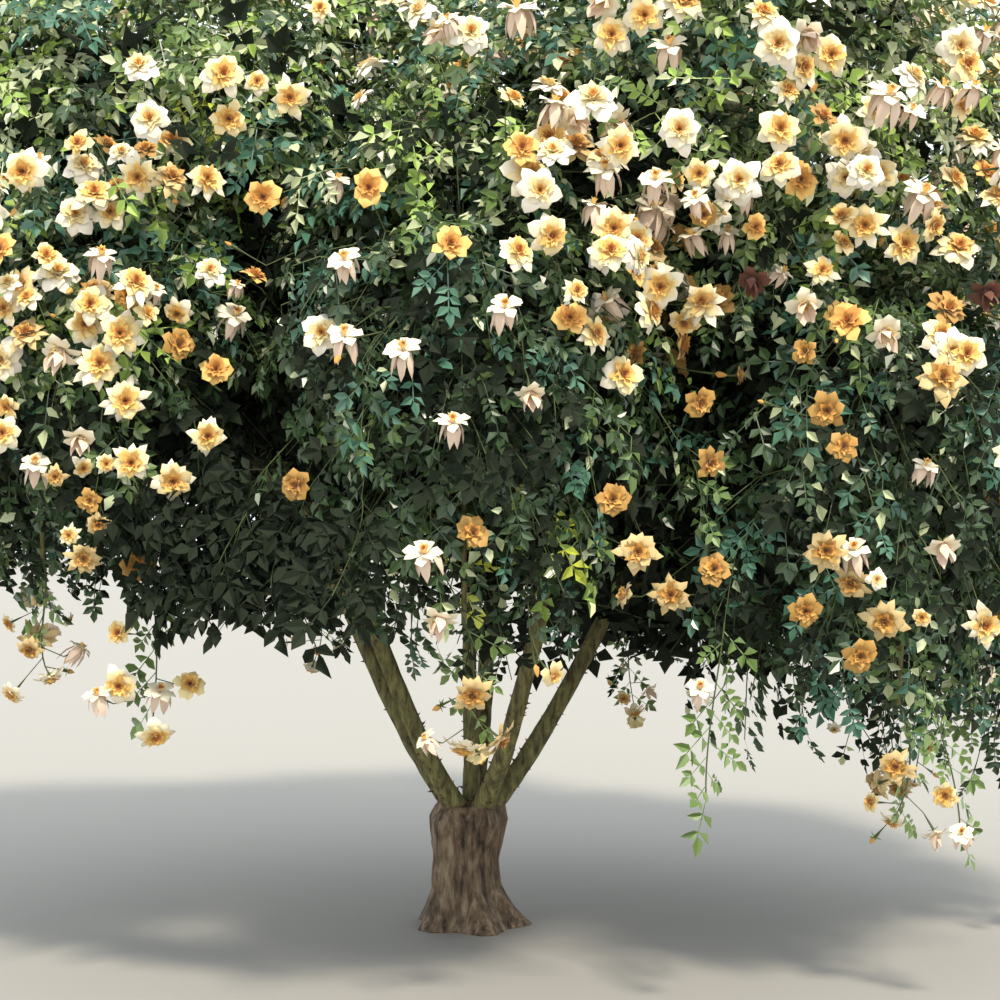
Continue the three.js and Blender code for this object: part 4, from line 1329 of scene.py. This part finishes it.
def leaflet(root, heading, size, form, roll):
    """The points and faces of one leaflet, from its root along a heading in the leaf's plane."""
    along = np.array([math.cos(heading), math.sin(heading), 0])
    level = np.array([math.sin(heading), -math.cos(heading), 0])
    across = level * math.cos(roll) + UP * math.sin(roll)
    upward = np.cross(across, along)
    length, width = form.length * size, form.width * size

    def at(share, side):
        bent = abs(side) * width * form.fold - form.curl * length * share**2
        return root + along * share * length + across * side * width / 2 + upward * bent

    points, faces = [], []
    for side, outline in zip((1, -1) if roll > 0 else (-1, 1), form.outline):
        half = [at(0, 0)] + [at(share, side * reach) for share, reach in outline] + [at(1, 0)]
        for corner in range(1, len(half) - 1):
            faces.append(tuple(len(points) + c for c in (0, corner, corner + 1)[::side]))
        points += half
    return points, faces


print("leaf forms:", len(LEAF_FORMS), "with", LEAF_VARIANTS, "variants each")

# %% Compound leaves
FIRST_PAIR, PAIR_SPAN, FIRST_PAIR_SIZE = 0.42, 0.46, 0.85
LEAFLET_SPLAY, LEAFLET_SIZES = (18, 46), (0.8, 1.0)
LEAFLET_ROLL, TIP_LEAFLET_TURN, TIP_LEAFLET_ROLL = 0.6, 0.15, 0.4
GLINTING = (1, 4)


def leaf_parts(form, draw):
    """The leaflets and the stalk of a compound leaf, with its stalk along +Y and its face to +Z."""
    parts = []
    for pair in range(form.pairs):
        share = FIRST_PAIR + PAIR_SPAN * pair / (form.pairs - 1)
        root = np.array([0, STALK_LENGTH * share, -form.droop * STALK_LENGTH * share**2])
        for side in (1, -1):
            splay = math.radians(draw.uniform(*LEAFLET_SPLAY))
            heading = splay if side == 1 else math.pi - splay
            size = draw.uniform(*LEAFLET_SIZES) * (FIRST_PAIR_SIZE if pair == 0 else 1)
            parts.append(leaflet(root, heading, size, form, draw.uniform(-LEAFLET_ROLL, LEAFLET_ROLL)))
    root = np.array([0, STALK_LENGTH, -form.droop * STALK_LENGTH])
    heading = math.pi / 2 + draw.uniform(-TIP_LEAFLET_TURN, TIP_LEAFLET_TURN)
    parts.append(leaflet(root, heading, 1, form, draw.uniform(-TIP_LEAFLET_ROLL, TIP_LEAFLET_ROLL)))
    side = np.array([STALK_HALF_WIDTH, 0, 0])
    parts.append(([side * -1, side, root + side, root - side], [(0, 1, 2, 3)]))
    return parts


def leaf_shapes():
    """Whole leaves, the shade leaf, the leaves without their glinting leaflets, and those leaflets."""
    draw = np.random.default_rng(SEED + 1)
    leaves = [leaf_parts(form, draw) for form in LEAF_FORMS for _ in range(LEAF_VARIANTS)]
    dull = [[part for n, part in enumerate(leaf) if n not in GLINTING] for leaf in leaves]
    glinting = [[leaf[n] for n in GLINTING] for leaf in leaves]
    shapes = leaves + [leaf_parts(SHADE_FORM, draw)] + dull + glinting
    return shape_set("leaf", [joined(f"leaf_{n}", parts) for n, parts in enumerate(shapes)])


LEAF_SHAPES = leaf_shapes()

# %% Where leaves sit
LEAVES_ON_SHOOT = (0.06, 0.24, 0.42, 0.6, 0.8, 1.0)
LEAVES_ON_TWIG = (0.25, 0.4, 0.55, 0.7, 0.85)
LEAF_SIZES, LEAF_SKYWARD, LEAF_LIFT = (0.8, 1.2), 0.4, (-0.1, 0.5)
LEAF_DROOP, HANGING_LEAF_DROOP, DROOP_SPREAD = (-0.7, 0.1), (-1.1, -0.2), (0.4, 1.6)
FACE_SPREAD, TIP_LEAF_SPREAD = 0.45, 0.4


def leaves_on(paths, facing, droop, shares, rng):
    """Leaf spots along paths at shares of the way, path by path. Facing and droop are by path."""
    count, steps = paths.shape[:2]
    all_spots = []
    directions = tangents(paths)
    for order, share in enumerate(shares):
        position = share * (steps - 1)
        low = min(int(position), steps - 2)
        base = paths[:, low] * (1 - position + low) + paths[:, low + 1] * (position - low)
        tangent = directions[:, min(steps - 1, round(position))]
        face = unit(facing + rng.uniform(-FACE_SPREAD, FACE_SPREAD, base.shape))
        across = unit(np.cross(face, tangent))
        if share == 1:
            along = tangent + across * rng.uniform(-TIP_LEAF_SPREAD, TIP_LEAF_SPREAD, (count, 1))
        else:
            along = tangent * 0.5 + across * np.where((np.arange(count) + order) % 2, 1, -1)[:, None]
        lift = rng.uniform(*LEAF_LIFT, count)[:, None]
        along += face * (lift - (along * face).sum(axis=-1, keepdims=True))
        along = unit(along + UP * (droop * rng.uniform(*DROOP_SPREAD, count))[:, None])
        shape = rng.integers(SHADE_SHAPE, size=count)
        all_spots.append(spots(base, along, face, rng.uniform(*LEAF_SIZES, count), shape))
    return together(all_spots)


def leaves_of_growth(growth, shares, rng):
    """Leaves on all twigs or shoots of the masses, and the number of the path that bears each."""
    facing = facing_out(growth.mass, growth.paths.mean(axis=1), LEAF_SKYWARD)
    droop = rng.uniform(*np.where(HANGS[growth.mass][:, None], HANGING_LEAF_DROOP, LEAF_DROOP).T)
    found = leaves_on(growth.paths, facing, droop, shares, rng)
    return found, np.tile(np.arange(len(growth.paths)), len(shares))


shoot_leaves, leaf_shoot = leaves_of_growth(shoots, LEAVES_ON_SHOOT, rng)
twig_leaves, leaf_twig = leaves_of_growth(twigs, LEAVES_ON_TWIG, rng)
print("leaf spots:", len(shoot_leaves.at), "on shoots,", len(twig_leaves.at), "on twigs")

# %% Room for leaves
LOWEST_LEAF = 0.03
LEAF_MIDDLE, FLOWER_MIDDLE, FLOWER_ROOM = 0.6, 0.02, 0.042


def leaf_points(some, share):
    """Points at a share of the way along leaves."""
    return some.at + some.along * (LEAF_LENGTH * some.size * share)[:, None]


def has_room(some):
    """Whether leaves stay in the box of the solids and off the ground, and keep out of the flowers."""
    ends = leaf_points(some, 1)
    boxed = (ends > BOX_LOW).all(axis=-1) & (ends < BOX_HIGH).all(axis=-1) & (ends[:, 2] > LOWEST_LEAF)
    off = [FLOWER_TREE.find(middle)[2] for middle in leaf_points(some, LEAF_MIDDLE)]
    return boxed & (np.array(off) > FLOWER_ROOM)


FLOWER_TREE = KDTree(len(flowers.at))
for index, middle in enumerate(flowers.at + flowers.axis * FLOWER_MIDDLE):
    FLOWER_TREE.insert(middle, index)
FLOWER_TREE.balance()
print("leaf spots on shoots with room:", int(has_room(shoot_leaves).sum()))

# %% [markdown]
# ## Dealing out the leaves
# Leaves in deep shade are painted nearly black, those on the outside are dark or bluish green, and
# tips in the sun get fresh and light tones, young leaf colour with painted light on it. Every shoot
# is dealt one tone, with the odds set by the light it gets, so the tones paint light and shade, and
# two patches of the photograph are yellow-green. Some leaflets lie so flat to the sun that they shine
# nearly white, so these are dealt the palest tone as a painted glint, whatever the tone of their leaf.

# %% Leaf tones
TONE_NAMES = list(LEAF_FINISHES)
SHADE, DEEP, PAINTED_GLINT = (TONE_NAMES.index(name) for name in ("shade", "deep", "pale"))


def deal_tones(points, open_air, rng):
    """A tone number for each shoot, which paints its light. Those inside the crown are painted shade."""
    light = brightness(points)
    yellow = patches(YELLOW_ZONES, points)
    odds = {
        "shade": 0.7 * (1 - light) ** 2,
        "deep": 0.9 - 0.75 * light,
        "mid": 0.12 + 0.45 * light,
        "bluish": 0.14 + 0.22 * light,
        "fresh": 0.5 * light**2 + yellow,
        # The pale tone is a painted glint, dealt where the light is bright.
        "pale": 0.1 * light**2,
        "yellow": yellow,
    }
    weights = [np.where(open_air, odds[name], name == "shade") for name in TONE_NAMES]
    weights = np.stack(weights, axis=-1)
    ladder = np.cumsum(weights / weights.sum(axis=-1, keepdims=True), axis=-1)
    return (rng.random((len(points), 1)) > ladder).sum(axis=-1)


shoot_tones = deal_tones(tips, shoots.open_air, rng)
print("shoots by tone:", dict(zip(TONE_NAMES, np.bincount(shoot_tones).tolist())))

# %% Deal out the leaves of the masses
SHADE_LEAF_GROWTH, PLAIN_ABOVE_HEM = 1.3, 0.22
LEAF_REACH = 1.22
GLINT_SHARES = (0.06, 0.6)


def all_leaves(rng):
    """Every leaf of the masses, with its tone and whether it hangs in the curtain."""
    # Leaves on twigs inside the crown get the near-black tone of painted shade.
    twig_tones = np.where(twigs.open_air, DEEP, SHADE)
    found = together([shoot_leaves, twig_leaves])
    masses = np.concatenate([shoots.mass[leaf_shoot], twigs.mass[leaf_twig]])
    tones = np.concatenate([shoot_tones[leaf_shoot], twig_tones[leaf_twig]])
    hidden = ~np.concatenate([shoots.open_air[leaf_shoot], twigs.open_air[leaf_twig]])
    inner = hidden & (above_hem(found.at) > PLAIN_ABOVE_HEM)
    found = found._replace(size=found.size * np.where(inner, SHADE_LEAF_GROWTH, 1))
    own_depths = depths(leaf_points(found, 1))[np.arange(len(masses)), masses]
    keep = (own_depths <= LEAF_REACH**2) & has_room(found)
    found, tones, hidden, hanging = chosen(found, keep), tones[keep], hidden[keep], HANGS[masses[keep]]
    # The glinting leaflets get the pale tone: a painted glint, likelier where the light is bright.
    chance = np.interp(brightness(found.at) ** 2, [0, 1], GLINT_SHARES)
    glints = (rng.random(len(tones)) < chance) & ~hidden
    shining = chosen(found, glints)
    shining = shining._replace(shape=shining.shape + GLINT_SHAPES)
    plain = (hidden | (tones == SHADE)) & (above_hem(found.at) > PLAIN_ABOVE_HEM)
    shape = np.where(glints, found.shape + DULL_SHAPES, np.where(plain, SHADE_SHAPE, found.shape))
    found = together([found._replace(shape=shape), shining])
    tones = np.concatenate([tones, np.full(len(shining.at), PAINTED_GLINT)])
    return found, tones, np.concatenate([hanging, hanging[glints]])


leaf_spots, leaf_tones, leaf_hanging = all_leaves(rng)
for number, tone in enumerate(TONE_NAMES):
    for part, hanging in (("crown", False), ("curtain", True)):
        mine = chosen(leaf_spots, (leaf_tones == number) & (leaf_hanging == hanging))
        name = f"leaves_{tone}_{part}"
        deal_out(name, mine, LEAF_SHAPES, LEAF_FINISHES[tone])
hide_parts(*(f"foliage_{mass.name}" for mass in MASSES))
print("leaves:", len(leaf_spots.at))

# %% Deal out the leaves of sprays, trails and tangle
SPRAY_LEAVES = (0.08, 0.24, 0.4, 0.55, 0.7, 0.85)
TRAIL_LEAVES, SHADE_TRAIL_LEAVES = np.linspace(0.06, 1, 13), np.linspace(0.04, 1, 24)
TANGLE_LEAVES, TANGLE_LEAF_GROWTH = (0.4, 0.55, 0.7, 0.85, 1.0), 1.5
SPRAY_LEAF_DROOP, SPRAY_SKYWARD = -0.5, 0.3


def spray_leaves(stems, shares, rng):
    """Leaves on sprays or trails, which hang outside the masses."""
    facing = unit((stems[:, 0] - CROWN_HEART) * [1, 1, 0] + UP * SPRAY_SKYWARD)
    found = leaves_on(stems, facing, np.full(len(stems), SPRAY_LEAF_DROOP), shares, rng)
    return chosen(found, has_room(found))


def tangle_leaves(rng):
    """Large leaves in the hollow of the crown, painted shade, which shut out the light behind it."""
    facing = unit(rng.normal(size=(len(tangle), 3)))
    found = leaves_on(tangle, facing, np.zeros(len(tangle)), TANGLE_LEAVES, rng)
    plain = above_hem(found.at) > PLAIN_ABOVE_HEM
    growth = np.where(plain, TANGLE_LEAF_GROWTH, SHADE_LEAF_GROWTH)
    found = found._replace(size=found.size * growth, shape=np.where(plain, SHADE_SHAPE, found.shape))
    return chosen(found, has_room(found))


on_sprays = spray_leaves(spray_stems, SPRAY_LEAVES, rng)
on_sprays = together([on_sprays, spray_leaves(trail_stems, TRAIL_LEAVES, rng)])
in_recess = spray_leaves(shade_stems, SHADE_TRAIL_LEAVES, rng)
in_recess = in_recess._replace(size=in_recess.size * SHADE_LEAF_GROWTH)
in_tangle = together([tangle_leaves(rng), in_recess])
deal_out("leaves_sprays", on_sprays, LEAF_SHAPES, LEAF_FINISHES["mid"])
# The tangle and the recess trails get the near-black tone of painted shade.
deal_out("leaves_tangle", in_tangle, LEAF_SHAPES, LEAF_FINISHES["shade"])

# %% [markdown]
# ## Prickles
# A rose climbs with hooked prickles, which are outgrowths of the skin and sit anywhere on it. So a
# tree scatters points on the canes' own skin, and stands a small hooked cone on each, turned to the
# skin's normal there.

# %% Prickles
PRICKLES_A_SQUARE_METRE = 900
PRICKLE_WIDTH, PRICKLE_HEIGHT, PRICKLE_HOOK = 0.0028, 0.0075, 0.0032
PRICKLE_SIZES, PRICKLE_THINNESS = (0.6, 1.3), 0.6
PRICKLE_RINGS = ((1.0, -0.1, 0.0), (0.45, 0.45, 0.25))


def prickle_tree():
    sizes = {"Prickle": "Object", "Density": "Float", "Seed": "Int", "Finish": "Material"}
    tree, given = new_tree("Prickles on a skin", **sizes)
    scattering = {"Density": given["Density"], "Seed": given["Seed"]}
    scattered = add_node(tree, "GeometryNodeDistributePointsOnFaces", given["Geometry"], **scattering)
    shape = add_node(tree, "GeometryNodeObjectInfo", given["Prickle"]).outputs["Geometry"]
    size = add_node(tree, "FunctionNodeRandomValue", data_type="FLOAT", Seed=given["Seed"])
    size.inputs[2].default_value, size.inputs[3].default_value = PRICKLE_SIZES
    standing = {"Instance": shape, "Rotation": scattered.outputs["Rotation"], "Scale": size.outputs[1]}
    placed = add_node(tree, "GeometryNodeInstanceOnPoints", scattered, **standing)
    return end_tree(tree, placed, given["Finish"])


def prickle_shape():
    """A cone on a long foot, hooked at its tip, with its foot sunk a little into the bark."""
    points = []
    for size, height, hook in PRICKLE_RINGS:
        for turn in (0, 90, 180, 270):
            x = math.cos(math.radians(turn)) * PRICKLE_WIDTH * size * PRICKLE_THINNESS
            y = math.sin(math.radians(turn)) * PRICKLE_WIDTH * size + hook * PRICKLE_HOOK
            points.append((x, y, height * PRICKLE_HEIGHT))
    points.append((0, PRICKLE_HOOK, PRICKLE_HEIGHT))
    faces = [(n, (n + 1) % 4, 4 + (n + 1) % 4, 4 + n) for n in range(4)]
    faces += [(4 + n, 4 + (n + 1) % 4, 8) for n in range(4)]
    return bpy.data.objects.new("prickle", mesh_of("prickle", points, faces))


PRICKLES = prickle_tree()
PRICKLE = prickle_shape()
inputs = {"Prickle": PRICKLE, "Density": PRICKLES_A_SQUARE_METRE, "Finish": PRICKLE_RED}
for number, skin in enumerate((canes, branches)):
    prickles = new_object(f"prickles_{number + 1}", skin.data.copy())
    ride_as(run_tree(prickles, PRICKLES, Seed=SEED + number, **inputs))

# %% [markdown]
# ## Floor and light
# The stage is a plain pale floor under soft light. The photograph was taken in sun from above, so
# the key light is a broad sun high at the front right. A pale sky all round softens its shadows and
# still leaves the hollows under the foliage dark.

# %% Floor
FLOOR_HALF = 30

corners = [(x * FLOOR_HALF, y * FLOOR_HALF, 0) for x, y in ((-1, -1), (1, -1), (1, 1), (-1, 1))]
floor = new_object("floor", mesh_of("floor", corners, [(0, 1, 2, 3)]))
floor.data.shade_flat()
floor.data.materials.append(plain_finish("floor pale", "9a9893", 0.9))
floor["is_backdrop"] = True
print("floor:", 2 * FLOOR_HALF, "metres across")

# %% Light
SUN_TILT, SUN_TURN, SUN_STRENGTH, SUN_ANGLE = 38, 16, 3.85, 8
SKY_STRENGTH = 1.7

sun = new_object("key", bpy.data.lights.new("key", "SUN"))
sun.rotation_euler = (math.radians(SUN_TILT), 0, math.radians(SUN_TURN))
sun.data.energy = SUN_STRENGTH
sun.data.angle = math.radians(SUN_ANGLE)
sun.data.color = colour("fff3e0")[:3]

world = bpy.data.worlds.new("studio")
world.use_nodes = True
sky = world.node_tree.nodes["Background"].inputs
sky["Color"].default_value, sky["Strength"].default_value = colour("e8eef2"), SKY_STRENGTH
bpy.context.scene.world = world
bpy.context.scene.view_settings.view_transform = "Standard"
print("the sun stands", 90 - SUN_TILT, "degrees above the floor")

# %% [markdown]
# ## Remove the helpers
# The shapes that were dealt out are in the pieces now, so their first copies go. The last line
# prints how many triangles there are in all.

# %% Finish
for helpers in (LEAF_SHAPES, RING_SHAPES):
    for helper in list(helpers.objects):
        bpy.data.objects.remove(helper)
    bpy.data.collections.remove(helpers)
bpy.data.objects.remove(PRICKLE)
total = sum(triangles(piece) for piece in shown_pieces() if piece.type == "MESH")
print("triangles in all:", total)
